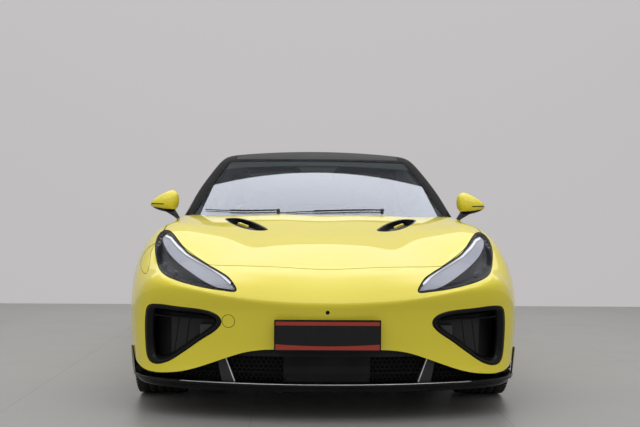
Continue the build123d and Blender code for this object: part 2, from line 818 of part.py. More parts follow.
# running gear
with BuildPart() as tyre_shape:
    with BuildSketch(Plane.XZ):
        half = tyre_width / 2
        with BuildLine():
            Line((-half + 26, tyre_radius), (half - 26, tyre_radius))
            for side in (1, -1):
                ThreePointArc(
                    (side * (half - 26), tyre_radius),
                    (side * (half - 11), tyre_radius - 7),
                    (side * (half - 4), tyre_radius - 24),
                )
                ThreePointArc(
                    (side * (half - 4), tyre_radius - 24),
                    (side * half, tyre_radius - 52),
                    (side * (half - 18), rim_radius),
                )
            Line((-half + 18, rim_radius), (half - 18, rim_radius))
        make_face()
    revolve(axis=Axis.X)

with BuildPart() as rim_shape:
    barrel = tyre_width / 2 - 16
    with BuildSketch(Plane.YZ.offset(-barrel)):
        Circle(rim_radius)
        Circle(rim_radius - rim_wall, mode=Mode.SUBTRACT)
    extrude(amount=2 * barrel)
    with BuildSketch(Plane.YZ.offset(disc_u)):
        Circle(hub_radius)
    extrude(amount=60 - disc_u)
    with BuildSketch(Plane.YZ.offset(disc_u)):
        Circle(disc_radius)
    extrude(amount=disc_thickness)
    with BuildSketch(Plane.YZ.offset(spoke_u)):
        with PolarLocations((hub_radius + rim_radius) / 2 - 5, spoke_count):
            Rectangle(rim_radius - hub_radius, 30)
    extrude(amount=26)
    with BuildSketch(Plane.YZ.offset(disc_u - 10)):
        Circle(spindle_radius + fit)
    extrude(amount=spindle_length + 12, mode=Mode.SUBTRACT)

with BuildPart() as upright_shape:
    # measured from the wheel's centre, outboard along +X; the caliper is towards the tail
    with BuildSketch(Plane.YZ.offset(-steer_inset - 18)):
        with Locations((0, 4)):
            RectangleRounded(64, upright_height, 20)
    extrude(amount=36)
    with BuildSketch(Plane.YZ.offset(-steer_inset)):
        Circle(spindle_radius)
    extrude(amount=spindle_length + disc_u + steer_inset - 10)
    add(box((-steer_inset - 16, disc_u - gap - 3), (20, 130), (-30, 30)))
    add(box((-steer_inset, disc_u + disc_thickness + 24), (112, 200), (-75, 75)))
    with BuildSketch(Plane.YZ.offset(disc_u - gap)):
        Circle(disc_radius + gap)
    extrude(amount=disc_thickness + 2 * gap, mode=Mode.SUBTRACT)
    with BuildSketch(Plane.YZ.offset(-steer_inset)):
        Circle(spindle_radius)
    extrude(amount=spindle_length + disc_u + steer_inset - 10)


for end, axle_y in (("front", front_axle_y), ("rear", rear_axle_y)):
    for side, name in ((1, "left"), (-1, "right")):
        with BuildPart() as tyre:
            with Locations((wheel_x, axle_y, hub_z)):
                add(tyre_shape.part)
            if side < 0:
                mirror(about=Plane.YZ, mode=Mode.REPLACE)
        pieces[f"{end}_{name}_tyre"] = tyre
        with BuildPart() as rim:
            with Locations((wheel_x, axle_y, hub_z)):
                add(rim_shape.part)
            if side < 0:
                mirror(about=Plane.YZ, mode=Mode.REPLACE)
        pieces[f"{end}_{name}_rim"] = rim

ball_low = hub_z - upright_height / 2 + 4
ball_high = hub_z + upright_height / 2 + 4
for side, name in ((1, "left"), (-1, "right")):
    with BuildPart() as knuckle:
        with Locations((wheel_x, front_axle_y, hub_z)):
            add(upright_shape.part)
        for z, way in ((ball_low, 1), (ball_high, -1)):
            start = (steer_x, front_axle_y, z - way * 10)
            end_point = (steer_x, front_axle_y, z + way * 45)
            add(rod(start, end_point, pin_radius + fit), mode=Mode.SUBTRACT)
        if side < 0:
            mirror(about=Plane.YZ, mode=Mode.REPLACE)
    pieces[f"{name}_knuckle"] = knuckle

with BuildPart() as suspension:
    for z, pin_end in ((ball_low - arm_drop, ball_low + 40), (ball_high + arm_drop, ball_high - 40)):
        with BuildSketch(Plane.XY.offset(z - 10)):
            with BuildLine():
                y = front_axle_y
                Polyline(
                    (rail_x, y - 110),
                    (rail_x + 90, y - 40),
                    (steer_x, y - 26),
                    (steer_x + 22, y - 10),
                    (steer_x + 22, y + 10),
                    (steer_x, y + 26),
                    (rail_x + 90, y + 40),
                    (rail_x, y + 110),
                    close=True,
                )
            make_face()
        extrude(amount=20)
        add(rod((steer_x, front_axle_y, z), (steer_x, front_axle_y, pin_end), pin_radius))
    low_z = ball_low - arm_drop
    add(rod((rail_x + 55, front_axle_y, low_z), (rail_x + 55, front_axle_y, ball_high + arm_drop), strut_radius))
    add(box((0, rail_x), (front_axle_y - 120, front_axle_y + 120), (low_z - 14, low_z + 26)))
    add(box((rail_x - 80, rail_x), (front_axle_y - 90, front_axle_y + 90), (low_z + 20, rail_z)))
    # rear: a carrier like the front knuckle, fixed to its arms
    with Locations((wheel_x, rear_axle_y, hub_z)):
        add(upright_shape.part)
    low_z, high_z = hub_z - 130, hub_z + 135
    y = (rear_axle_y - 36, rear_axle_y + 36)
    for z in (low_z, high_z):
        add(box((subframe_x, wheel_x - steer_inset), y, (z - 10, z + 10)))
    add(box((subframe_x, subframe_x + 60), y, (low_z - 10, high_z + 10)))
    add(rod((subframe_x + 115, rear_axle_y, low_z), (subframe_x + 115, rear_axle_y, high_z), strut_radius))
    add(box((0, subframe_x + 10), (rear_axle_y - 140, rear_axle_y + 140), (motor_z - 45, motor_z)))
    beam_y = (bulkhead_y + 10, rear_axle_y + 320)
    add(box((subframe_x - 50, subframe_x + 10), beam_y, (motor_z - 30, motor_z + 30)))
    mirror(about=Plane.YZ)
pieces["suspension"] = suspension

with BuildPart() as drive_motor:
    add(box((-motor_x, motor_x), (rear_axle_y - 70, rear_axle_y + 210), (motor_z, tub_floor_z - 12)))
    fillet(drive_motor.edges().filter_by(Axis.X), radius=motor_corner)
pieces["drive_motor"] = drive_motor

# cabin
wheel_plane = Plane(
    origin=(steering_x, steering_y, steering_z),
    x_dir=(1, 0, 0),
    z_dir=(0, cos(radians(column_angle)), sin(radians(column_angle))),
)
with BuildPart(wheel_plane) as steering_wheel:
    Torus(steering_radius, steering_grip)
    Cylinder(steering_boss_radius, steering_boss_depth)
    Box(2 * steering_radius - 10, 30, steering_spoke)
    with Locations((0, -steering_radius / 2, 0)):
        Box(30, steering_radius - 10, steering_spoke)
    with Locations((0, 0, -30)):
        Cylinder(pin_radius + fit, 50, mode=Mode.SUBTRACT)
pieces["steering_wheel"] = steering_wheel

with BuildPart(wheel_plane) as column:
    with Locations((0, 0, -125)):
        Cylinder(44, 190)
    with Locations((0, 0, -30)):
        Cylinder(pin_radius, 36)
with BuildPart() as dashboard:
    with BuildSketch(Plane.YZ.offset(-dash_x)):
        y = firewall_y + 10
        with BuildLine():
            Polyline(
                (y, 600), (y, 900), (y + 330, 896), (y + 500, 850), (y + 510, 740), (y + 400, 640), close=True
            )
        make_face()
    extrude(amount=2 * dash_x)
    add(box((-console_x, console_x), (y + 380, y + 1330), (floor_z + rest, console_top_z)))
    add(box((-console_x, console_x), (y + 380, y + 480), (console_top_z - 20, 700)))
    add(column.part)
pieces["dashboard"] = dashboard

with BuildPart() as seats:
    with BuildSketch(Plane.YZ.offset(seat_x - seat_width / 2)):
        with BuildLine():
            y = seat_y
            Polyline(
                (y, floor_z + rest),
                (y - 20, 440),
                (y + 10, 480),
                (y + 430, 450),
                (y + 600, 1010),
                (y + 640, 1165),
                (y + 720, 1150),
                (y + 710, 1000),
                (y + 590, 430),
                (y + 560, floor_z + rest),
                close=True,
            )
        make_face()
    extrude(amount=seat_width)
    for side in (1, -1):
        shoulder_x = sorted((seat_x + side * 130, seat_x + side * (seat_width / 2 + 10)))
        add(box(shoulder_x, full_y, (985, height)), mode=Mode.SUBTRACT)
    mirror(about=Plane.YZ)
    with BuildSketch(Plane.YZ.offset(-rear_seat_x)):
        with BuildLine():
            y = bulkhead_y - rest
            Polyline(
                (y, floor_z + rest),
                (y - 480, floor_z + rest),
                (y - 500, 440),
                (y - 150, 410),
                (y - 60, 870),
                (y, 880),
                close=True,
            )
        make_face()
    extrude(amount=2 * rear_seat_x)
pieces["seats"] = seats

with BuildPart() as wipers:
    # seen from above: two blades and their arms along the windshield's foot
    with BuildSketch(Plane.XY.offset(900)):
        for (hinge_x, hinge_y), (tip_x, tip_y) in wiper_lines:
            with BuildLine(mode=Mode.PRIVATE) as blade:
                Line((hinge_x, nose_y + hinge_y), (tip_x, nose_y + tip_y))
            trace(blade.line, line_width=wiper_width)
    extrude(amount=height)
    add(hollow(greenhouse(-wiper_depth - rest), greenhouse(-rest)), mode=Mode.INTERSECT)
pieces["wipers"] = wipers

for name, piece in pieces.items():
    piece.part.label = name
    export_step(piece.part, f"parts/{name}.step")
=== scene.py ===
import json
import math
import bpy
import bmesh
import numpy as np
from mathutils import Matrix, Vector
from mathutils.bvhtree import BVHTree

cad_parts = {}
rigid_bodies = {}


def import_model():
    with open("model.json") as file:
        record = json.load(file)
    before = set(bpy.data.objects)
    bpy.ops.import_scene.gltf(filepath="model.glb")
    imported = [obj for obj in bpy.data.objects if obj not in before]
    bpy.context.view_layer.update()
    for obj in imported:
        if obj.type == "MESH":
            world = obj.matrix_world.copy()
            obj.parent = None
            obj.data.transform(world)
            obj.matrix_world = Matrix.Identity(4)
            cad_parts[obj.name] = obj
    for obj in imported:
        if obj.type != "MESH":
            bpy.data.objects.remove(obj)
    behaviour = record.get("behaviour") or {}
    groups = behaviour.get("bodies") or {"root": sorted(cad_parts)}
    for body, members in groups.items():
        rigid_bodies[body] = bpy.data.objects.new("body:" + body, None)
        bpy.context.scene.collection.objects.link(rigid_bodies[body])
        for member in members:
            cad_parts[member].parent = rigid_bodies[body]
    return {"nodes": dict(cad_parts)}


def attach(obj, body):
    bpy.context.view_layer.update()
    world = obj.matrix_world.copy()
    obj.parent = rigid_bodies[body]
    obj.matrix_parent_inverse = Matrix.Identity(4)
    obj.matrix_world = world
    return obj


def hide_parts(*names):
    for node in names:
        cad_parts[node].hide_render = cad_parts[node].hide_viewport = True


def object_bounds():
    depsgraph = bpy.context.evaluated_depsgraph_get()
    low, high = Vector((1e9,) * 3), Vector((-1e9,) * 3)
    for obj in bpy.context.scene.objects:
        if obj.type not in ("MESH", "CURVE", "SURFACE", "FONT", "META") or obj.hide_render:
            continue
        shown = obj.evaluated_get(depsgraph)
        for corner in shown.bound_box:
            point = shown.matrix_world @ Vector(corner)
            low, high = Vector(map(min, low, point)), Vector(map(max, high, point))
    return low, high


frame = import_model()
cadLow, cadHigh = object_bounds()
print("frame loaded")

# x is the car's left, s the distance behind the nose, z up; the script works in s and shifts at the end
noseY = cadLow.y
sides = ((1, "left"), (-1, "right"))
car = {
    "length": 4.715,
    "frontAxle": 0.89,
    "rearAxle": 3.66,
    "hubHeight": 0.34,
    "wheelX": 0.842,
    "archRadius": 0.385,
    "skin": 0.012,
    "shutLine": 0.0045,
}


def curve(xs, ys):
    # a smooth line through the points, level with its end slopes
    xs, ys = np.array(xs, float), np.array(ys, float)
    slope = np.gradient(ys, xs)

    def value(x):
        x = np.clip(x, xs[0], xs[-1])
        i = np.clip(np.searchsorted(xs, x) - 1, 0, len(xs) - 2)
        h = xs[i + 1] - xs[i]
        t = (x - xs[i]) / h
        a, b = ys[i], ys[i + 1]
        return (
            a * (1 + 2 * t) * (1 - t) ** 2 + b * t * t * (3 - 2 * t)
            + h * (slope[i] * t * (1 - t) ** 2 - slope[i + 1] * t * t * (1 - t))
        )

    return value


def step(lo, hi, x):
    # from 0 below lo to 1 above hi
    t = np.clip((x - lo) / (hi - lo), 0, 1)
    return t * t * (3 - 2 * t)


def bell(x, centre, width):
    return np.exp(-(((x - centre) / width) ** 2))


def blendMax(a, b, k):
    # the larger of two, with a round of size k where they meet
    h = np.clip(1 - np.abs(a - b) / k, 0, 1)
    return np.maximum(a, b) + h ** 3 * k / 6


# the body below its windows: heights in mm for each distance out from the middle, one for each of topRows,
# the distances behind the nose
topRows = [0, 0.05, 0.12, 0.22, 0.39, 0.69, 0.99, 1.39, 1.79, 2.5, 3.3, 3.9, 4.35, 4.62, 4.8]
topTable = {
    0.0: [549, 600, 650, 694, 748, 827, 891, 962, 978, 985, 990, 990, 990, 997, 1003],
    0.25: [559, 612, 663, 703, 753, 829, 893, 965, 980, 984, 988, 989, 989, 996, 1002],
    0.4: [577, 624, 664, 704, 752, 827, 888, 960, 976, 980, 984, 986, 986, 992, 997],
    0.55: [601, 632, 663, 703, 760, 847, 903, 955, 968, 972, 976, 980, 980, 985, 989],
    0.7: [633, 655, 683, 717, 785, 875, 918, 957, 960, 960, 964, 972, 972, 974, 976],
    0.83: [676, 690, 710, 748, 830, 906, 937, 960, 955, 948, 956, 972, 966, 960, 955],
    0.99: [730, 735, 742, 770, 830, 910, 940, 958, 945, 930, 940, 955, 945, 930, 920],
}
topColumns = [curve(topRows, np.array(row) / 1000) for row in topTable.values()]
topX = np.array(sorted(topTable))
widest = curve(
    [0, 0.23, 0.45, 0.7, 1.0, 1.39, 2.1, 3.0, 3.66, 4.22, 4.715],
    [0.9775, 0.9815, 0.9855, 0.9895, 0.9895, 0.966, 0.9515, 0.965, 0.9895, 0.9815, 0.955],
)
widestZ = curve([0, 0.45, 0.9, 1.5, 2.4, 3.66, 4.7], [0.45, 0.56, 0.6, 0.63, 0.64, 0.62, 0.6])
sillTuck = curve([0, 0.7, 1.39, 2.1, 3.0, 3.66, 4.7], [0.028, 0.025, 0.045, 0.052, 0.052, 0.04, 0.04])
topTuck = curve(
    [0, 0.7, 1.0, 1.39, 2.1, 3.0, 3.66, 4.3, 4.7], [0.02, 0.02, 0.02, 0.04, 0.055, 0.05, 0.03, 0.04, 0.06])
noseDrop = curve(
    [0.1, 0.18, 0.26, 0.338, 0.4, 0.475, 0.52, 0.549, 0.7],
    [0.035, 0.028, 0.034, 0.034, 0.028, 0.018, 0.009, 0.0, -0.03])
tailDrop = curve(
    [0.12, 0.25, 0.43, 0.6, 0.7, 0.78, 0.87, 1.01], [0.115, 0.07, 0.0, 0.004, 0.0, 0.018, 0.012, 0.05])


def topHeight(x, d):
    # height of the hood, shoulder and deck at x, a distance d behind the nose
    x = np.minimum(np.abs(x), 0.989)
    z = np.array([column(d) for column in topColumns])
    # smooth across the car, level on the centre line
    slopes = np.empty_like(z)
    dx = np.diff(topX)[:, None]
    rise = np.diff(z, axis=0) / dx
    slopes[0] = 0
    slopes[-1] = rise[-1]
    slopes[1:-1] = (rise[:-1] + rise[1:]) / 2
    i = np.clip(np.searchsorted(topX, x) - 1, 0, len(topX) - 2)
    n = np.arange(len(x))
    h = topX[i + 1] - topX[i]
    t = (x - topX[i]) / h
    a, b, p, q = z[i, n], z[i + 1, n], slopes[i, n], slopes[i + 1, n]
    return (
        a * (1 + 2 * t) * (1 - t) ** 2 + b * t * t * (3 - 2 * t)
        + h * (p * t * (1 - t) ** 2 - q * t * t * (1 - t)))


def noseLine(x):
    # how far the nose sweeps back, seen from above
    return 0.008 + x * x / 3.76


bodyForm = {
    "noseBlend": 0.36, "tailBlend": 0.34, "floor": 0.135, "floorBlend": 0.05, "noseTuck": 0.032,
    "doorHollow": 0.022, "archSwell": 0.007, "archSwellRadius": 0.395,
}


def lowerBody(p):
    # below zero inside the body; p holds x, s, z
    x, s, z = np.abs(p[:, 0]), p[:, 1], p[:, 2]
    d = s - noseLine(x)
    # sides
    wz = widestZ(s)
    side = widest(s)
    side = side - sillTuck(s) * np.clip((wz - z) / (wz - 0.13), 0, 1.3) ** 2
    side = side - topTuck(s) * np.clip((z - wz) / (0.92 - wz), 0, 1.4) ** 2
    door = step(1.15, 1.75, s) * (1 - step(2.75, 3.3, s))
    side = side - bodyForm["noseTuck"] * (1 - step(0.25, 0.92, s))
    side = side - bodyForm["doorHollow"] * door * bell(z, 0.42 + 0.05 * (s - 2.3), 0.11)
    for axle in (car["frontAxle"], car["rearAxle"]):
        r = np.hypot(s - axle, z - car["hubHeight"])
        side = side + bodyForm["archSwell"] * bell(r, bodyForm["archSwellRadius"], 0.035)
    f = x - side
    # nose and tail
    nose = -(d - noseDrop(z))
    tail = s - (car["length"] - noseLine(x) - tailDrop(z))
    f = blendMax(f, nose, bodyForm["noseBlend"])
    f = blendMax(f, tail, bodyForm["tailBlend"])
    # hood, shoulders, deck
    top = z - topHeight(x, d)
    ahead = 0.03 + 0.34 * step(0.45, 0.9, x) * step(0.05, 0.4, s)
    behind = 0.1 + 0.14 * step(3.2, 3.6, s) * (1 - step(4.3, 4.6, s)) - 0.06 * step(4.35, 4.6, s)
    k = ahead + (behind - ahead) * step(1.15, 1.9, s)
    f = blendMax(f, top, k)
    return blendMax(f, bodyForm["floor"] - z, bodyForm["floorBlend"])


# windows, pillars and roof
roofLine = curve(
    [1.2, 1.9, 2.15, 2.4, 2.65, 3.0, 3.5, 4.0, 4.6, 4.8],
    [1.2, 1.345, 1.383, 1.406, 1.413, 1.392, 1.283, 1.122, 0.935, 0.87],
)
beltX = curve(
    [1.3, 1.62, 2.1, 2.6, 3.2, 3.8, 4.2, 4.6], [0.862, 0.862, 0.85, 0.838, 0.795, 0.722, 0.66, 0.59])
sideLean = curve([1.3, 2.0, 2.6, 3.2, 3.8, 4.6], [0.51, 0.5, 0.49, 0.46, 0.44, 0.42])


cabinForm = {
    "belt": 0.905, "height": 0.525, "sideCrown": 0.035, "screenFoot": 1.335, "screenTop": 2.335,
    "screenBlend": 0.09, "roofCrown": 0.036, "roofBlend": 0.07, "rearEnd": 4.45,
}


def upperBody(p):
    # below zero inside the windows, pillars and roof
    x, s, z = np.abs(p[:, 0]), p[:, 1], p[:, 2]
    t = (z - cabinForm["belt"]) / cabinForm["height"]
    side = beltX(s) - sideLean(s) * (z - cabinForm["belt"]) + cabinForm["sideCrown"] * (1 - (2 * t - 1) ** 2)
    f = (x - side) * 0.9
    corner = 0.85 - 0.276 * t
    u = x / np.maximum(corner, 0.3)
    foot, head = cabinForm["screenFoot"] + 0.285 * u * u, cabinForm["screenTop"] + 0.051 * u * u
    screen = (1 - t) * foot + t * head - 0.045 * (1 - (2 * t - 1) ** 2) * 0.6
    f = blendMax(f, (screen - s) * 0.47, cabinForm["screenBlend"])
    roof = z - roofLine(s) + cabinForm["roofCrown"] * x * x / 0.36 * (0.6 + 0.4 * step(2.0, 2.6, s))
    f = blendMax(f, roof * 0.93, cabinForm["roofBlend"])
    f = blendMax(f, s - cabinForm["rearEnd"], 0.02)
    return blendMax(f, 0.8 - z, 0.02)


def slopeOf(f, p):
    # which way f rises fastest, as unit vectors
    h = 0.0008
    g = np.empty_like(p)
    for axis in range(3):
        e = np.zeros(3)
        e[axis] = h
        g[:, axis] = f(p + e) - f(p - e)
    return g / np.maximum(np.linalg.norm(g, axis=1), 1e-12)[:, None]


def landOn(f, start, end, rounds=22):
    # where each line from inside to outside crosses f = 0
    lo, hi = np.zeros(len(start)), np.ones(len(start))
    for _ in range(rounds):
        mid = (lo + hi) / 2
        inside = f(start + (end - start) * mid[:, None]) < 0
        lo, hi = np.where(inside, mid, lo), np.where(inside, hi, mid)
    return start + (end - start) * ((lo + hi) / 2)[:, None]


def place(p):
    # from x, s, z to the shared frame
    q = np.array(p, float).reshape(-1, 3).copy()
    q[:, 1] += noseY
    return q


def makeMesh(name, verts, faces, smooth=True):
    # verts are x, s, z; faces an array of equal-sided faces or a list of tuples
    mesh = bpy.data.meshes.new(name)
    q = place(verts)
    mesh.vertices.add(len(q))
    mesh.vertices.foreach_set("co", q.astype(np.float32).ravel())
    if isinstance(faces, np.ndarray):
        sizes = np.full(len(faces), faces.shape[1])
        flat = faces.ravel()
    else:
        sizes = np.array([len(f) for f in faces])
        flat = np.array([i for f in faces for i in f])
    mesh.loops.add(len(flat))
    mesh.loops.foreach_set("vertex_index", flat.astype(np.int32))
    mesh.polygons.add(len(sizes))
    mesh.polygons.foreach_set("loop_start", (np.cumsum(sizes) - sizes).astype(np.int32))
    mesh.polygons.foreach_set("use_smooth", np.full(len(sizes), smooth))
    mesh.update(calc_edges=True)
    mesh.validate()
    return addObject(name, mesh)


def addObject(name, data):
    obj = bpy.data.objects.new(name, data)
    bpy.context.scene.collection.objects.link(obj)
    return obj


def drop(*objs):
    for obj in objs:
        bpy.data.objects.remove(obj)


def wrap(f, low, high, coreLow, coreHigh, pitch, finer=None):
    # a closed skin of quads on f = 0, reached from the sides of a box; finer is (axis, from, to, pitch)
    low, high, coreLow, coreHigh = (np.array(v, float) for v in (low, high, coreLow, coreHigh))
    n = np.maximum(2, np.round((high - low) / pitch)).astype(int)
    ticks = [np.linspace(low[k], high[k], n[k] + 1) for k in range(3)]
    for k, a, b, small in finer or ():
        close = np.arange(a, b, small)
        ticks[k] = np.concatenate([ticks[k][ticks[k] < a - small / 2], close, ticks[k][ticks[k] > b]])
        n[k] = len(ticks[k]) - 1
    quads = []
    for axis in range(3):
        a, b = [k for k in range(3) if k != axis]
        i, j = np.meshgrid(np.arange(n[a]), np.arange(n[b]), indexing="ij")
        for end in (0, n[axis]):
            corners = np.zeros((i.size, 4, 3), int)
            corners[:, :, axis] = end
            turn = [(0, 0), (1, 0), (1, 1), (0, 1)]
            if (end == 0) != (axis == 1):
                turn.reverse()
            for c, (di, dj) in enumerate(turn):
                corners[:, c, a] = (i + di).ravel()
                corners[:, c, b] = (j + dj).ravel()
            quads.append(corners)
    quads = np.concatenate(quads)
    keys = (quads[:, :, 0] * (n[1] + 1) + quads[:, :, 1]) * (n[2] + 1) + quads[:, :, 2]
    unique, index = np.unique(keys.ravel(), return_inverse=True)
    grid = np.stack(
        [unique // ((n[1] + 1) * (n[2] + 1)), unique // (n[2] + 1) % (n[1] + 1), unique % (n[2] + 1)], 1)
    outside = np.stack([ticks[k][grid[:, k]] for k in range(3)], 1)
    core = np.clip(outside, coreLow, coreHigh)
    points = landOn(f, core, outside)
    return points, index.reshape(-1, 4), slopeOf(f, points)


def shellPatch(name, skin, choose, thickness, lift=0.0):
    # a closed wall behind the part of a skin where choose(points) holds, raised by lift
    points, quads, normals = skin
    wanted = choose(points)
    quads = quads[wanted[quads].all(axis=1)]
    used, index = np.unique(quads.ravel(), return_inverse=True)
    quads = index.reshape(-1, 4)
    n = len(used)
    outer = points[used] + normals[used] * lift
    inner = outer - normals[used] * thickness
    starts, ends = quads.ravel(), np.roll(quads, -1, axis=1).ravel()
    forward, backward = starts * n + ends, ends * n + starts
    rim = ~np.isin(forward, backward)
    a, b = starts[rim], ends[rim]
    walls = np.stack([b, a, a + n, b + n], 1)
    faces = np.concatenate([quads, quads[:, ::-1] + n, walls])
    return makeMesh(name, np.concatenate([outer, inner]), faces)


def closedSkin(name, skin, grow=0.0):
    points, quads, normals = skin
    return makeMesh(name, points + normals * grow, quads)


def prism(outline, lo, hi, axis="z", mirrored=False):
    # a closed block from a flat outline: (x, s) along z, (x, z) along s, (s, z) along x
    verts, faces = [], []
    for side in ((1, -1) if mirrored else (1,)):
        ring = []
        for depth in (lo, hi):
            for u, v in outline:
                p = {"z": (u, v, depth), "s": (u, depth, v), "x": (depth, u, v)}[axis]
                ring.append((p[0] * side, p[1], p[2]))
        m, base = len(outline), len(verts)
        verts += ring
        faces += [tuple(base + i for i in range(m)), tuple(base + m + i for i in range(m))[::-1]]
        faces += [(base + (i + 1) % m, base + i, base + m + i, base + m + (i + 1) % m) for i in range(m)]
    return faceOut(makeMesh("tool", verts, faces, smooth=False), weld=False)


def block(x, s, z, mirrored=False):
    return prism([(x[0], s[0]), (x[1], s[0]), (x[1], s[1]), (x[0], s[1])], z[0], z[1], "z", mirrored)


def faceOut(obj, weld=True):
    bm = bmesh.new()
    bm.from_mesh(obj.data)
    if weld:
        bmesh.ops.remove_doubles(bm, verts=bm.verts, dist=1e-6)
    bmesh.ops.recalc_face_normals(bm, faces=bm.faces)
    bm.to_mesh(obj.data)
    bm.free()
    return obj


def angles(count, start=0.0):
    # even steps round a full turn
    return np.linspace(start, start + 2 * math.pi, count, endpoint=False)


def oval(width, height, count, start=0.0):
    # points round an ellipse of these half sizes
    return [(width * math.cos(a), height * math.sin(a)) for a in angles(count, start)]


def cylinder(centre, radius, lo, hi, axis="x", mirrored=False, count=96):
    ring = [(centre[0] + u, centre[1] + v) for u, v in oval(radius, radius, count)]
    return prism(ring, lo, hi, axis, mirrored)


def combine(obj, tools, how="DIFFERENCE", keepTools=False):
    # cuts the tools out of a piece, or keeps what they share, and uses them up
    for tool in tools:
        modifier = obj.modifiers.new("cut", "BOOLEAN")
        modifier.operation = how
        modifier.solver = "MANIFOLD"
        modifier.object = tool
    bake(obj)
    if not keepTools:
        drop(*tools)
    return obj


def bake(obj):
    # what the modifiers make becomes the mesh
    bpy.context.view_layer.update()
    graph = bpy.context.evaluated_depsgraph_get()
    mesh = bpy.data.meshes.new_from_object(
        obj.evaluated_get(graph), preserve_all_data_layers=True, depsgraph=graph)
    obj.modifiers.clear()
    old = obj.data
    obj.data = mesh
    bpy.data.meshes.remove(old)
    return obj


def writeVerts(mesh, points):
    mesh.vertices.foreach_set("co", place(points).astype(np.float32).ravel())


def readVerts(mesh):
    co = np.empty(len(mesh.vertices) * 3, np.float32)
    mesh.vertices.foreach_get("co", co)
    co = co.reshape(-1, 3).astype(float)
    co[:, 1] -= noseY
    return co


def polish(obj, f, near=0.003):
    # faces that lie on f = 0 get its own smooth normals, cut walls stay flat
    mesh = obj.data
    co = readVerts(mesh)
    on = np.abs(f(co)) < near
    slope = slopeOf(f, co)
    count = len(mesh.polygons)
    loops = np.empty(len(mesh.loops), np.int32)
    mesh.loops.foreach_get("vertex_index", loops)
    totals = np.empty(count, np.int32)
    mesh.polygons.foreach_get("loop_total", totals)
    flat = np.empty(count * 3, np.float32)
    mesh.polygons.foreach_get("normal", flat)
    flat = flat.reshape(-1, 3)
    owner = np.repeat(np.arange(count), totals)
    good = np.ones(count, bool)
    np.logical_and.at(good, owner, on[loops])
    facing = (slope[loops] * flat[owner]).sum(1) > 0.6
    np.logical_and.at(good, owner, facing)
    normals = np.where(good[owner][:, None], slope[loops], flat[owner])
    mesh.polygons.foreach_set("use_smooth", np.ones(count, bool))
    mesh.normals_split_custom_set(normals.tolist())


def arc(a, m, b, count=24):
    # points along the circle from a through m to b
    (ax, ay), (mx, my), (bx, by) = a, m, b
    d = 2 * (ax * (my - by) + mx * (by - ay) + bx * (ay - my))
    aa, mm, bb = ax * ax + ay * ay, mx * mx + my * my, bx * bx + by * by
    ux = (aa * (my - by) + mm * (by - ay) + bb * (ay - my)) / d
    uy = (aa * (bx - mx) + mm * (ax - bx) + bb * (mx - ax)) / d
    r = math.hypot(ax - ux, ay - uy)
    t0, t1, t2 = (math.atan2(p[1] - uy, p[0] - ux) for p in (a, m, b))
    turn = (t2 - t0) % (2 * math.pi)
    if (t1 - t0) % (2 * math.pi) > turn:
        turn -= 2 * math.pi
    return [
        (ux + r * math.cos(t0 + turn * i / count), uy + r * math.sin(t0 + turn * i / count))
        for i in range(count + 1)]


def loopThrough(points, count=8):
    # a closed smooth line through the points
    p = np.array(points, float)
    out = []
    n = len(p)
    for i in range(n):
        a, b, c, d = p[i - 1], p[i], p[(i + 1) % n], p[(i + 2) % n]
        for k in range(count):
            t = k / count
            square, cube = (2 * a - 5 * b + 4 * c - d) * t * t, (3 * b - a - 3 * c + d) * t ** 3
            out.append(tuple(0.5 * (2 * b + (c - a) * t + square + cube)))
    return out


def rounded(points, radius, count=6):
    # the outline with its corners rounded
    p = [Vector(q) for q in points]
    out = []
    for i in range(len(p)):
        a, b, c = p[i - 1], p[i], p[(i + 1) % len(p)]
        r = radius[i] if isinstance(radius, (list, tuple)) else radius
        u, v = (a - b).normalized(), (c - b).normalized()
        cut = min(r / max(math.tan(u.angle(v) / 2), 0.05), 0.48 * (a - b).length, 0.48 * (c - b).length)
        s, e = b + u * cut, b + v * cut
        for k in range(count + 1):
            t = k / count
            out.append(tuple(s * (1 - t) ** 2 + b * 2 * t * (1 - t) + e * t * t))
    return out


def grown(outline, amount):
    # the outline moved outwards by amount
    p = np.array(outline)
    area = 0.5 * np.sum(p[:, 0] * np.roll(p[:, 1], -1) - np.roll(p[:, 0], -1) * p[:, 1])
    ahead, behind = np.roll(p, -1, 0) - p, p - np.roll(p, 1, 0)
    ahead /= np.maximum(np.linalg.norm(ahead, axis=1), 1e-9)[:, None]
    behind /= np.maximum(np.linalg.norm(behind, axis=1), 1e-9)[:, None]
    t = ahead + behind
    t /= np.maximum(np.linalg.norm(t, axis=1), 1e-9)[:, None]
    normal = np.stack([t[:, 1], -t[:, 0]], 1) * (1 if area > 0 else -1)
    return [tuple(q) for q in p + normal * amount]


class Wire:  # an output socket that can be used in sums
    def __init__(self, finish, socket):
        self.finish, self.socket = finish, socket

    def sum(self, kind, *others):
        return self.finish.node("ShaderNodeMath", {"operation": kind}, dict(enumerate((self, *others))))

    def __add__(self, other): return self.sum("ADD", other)
    def __radd__(self, other): return self.sum("ADD", other)
    def __sub__(self, other): return self.sum("SUBTRACT", other)
    def __rsub__(self, other):
        return self.finish.node("ShaderNodeMath", {"operation": "SUBTRACT"}, {0: other, 1: self})
    def __mul__(self, other): return self.sum("MULTIPLY", other)
    def __rmul__(self, other): return self.sum("MULTIPLY", other)
    def __pow__(self, other): return self.sum("POWER", other)
    def above(self, level): return self.sum("GREATER_THAN", level)
    def below(self, level): return self.sum("LESS_THAN", level)
    def least(self, other): return self.sum("MINIMUM", other)
    def size(self): return self.sum("ABSOLUTE")


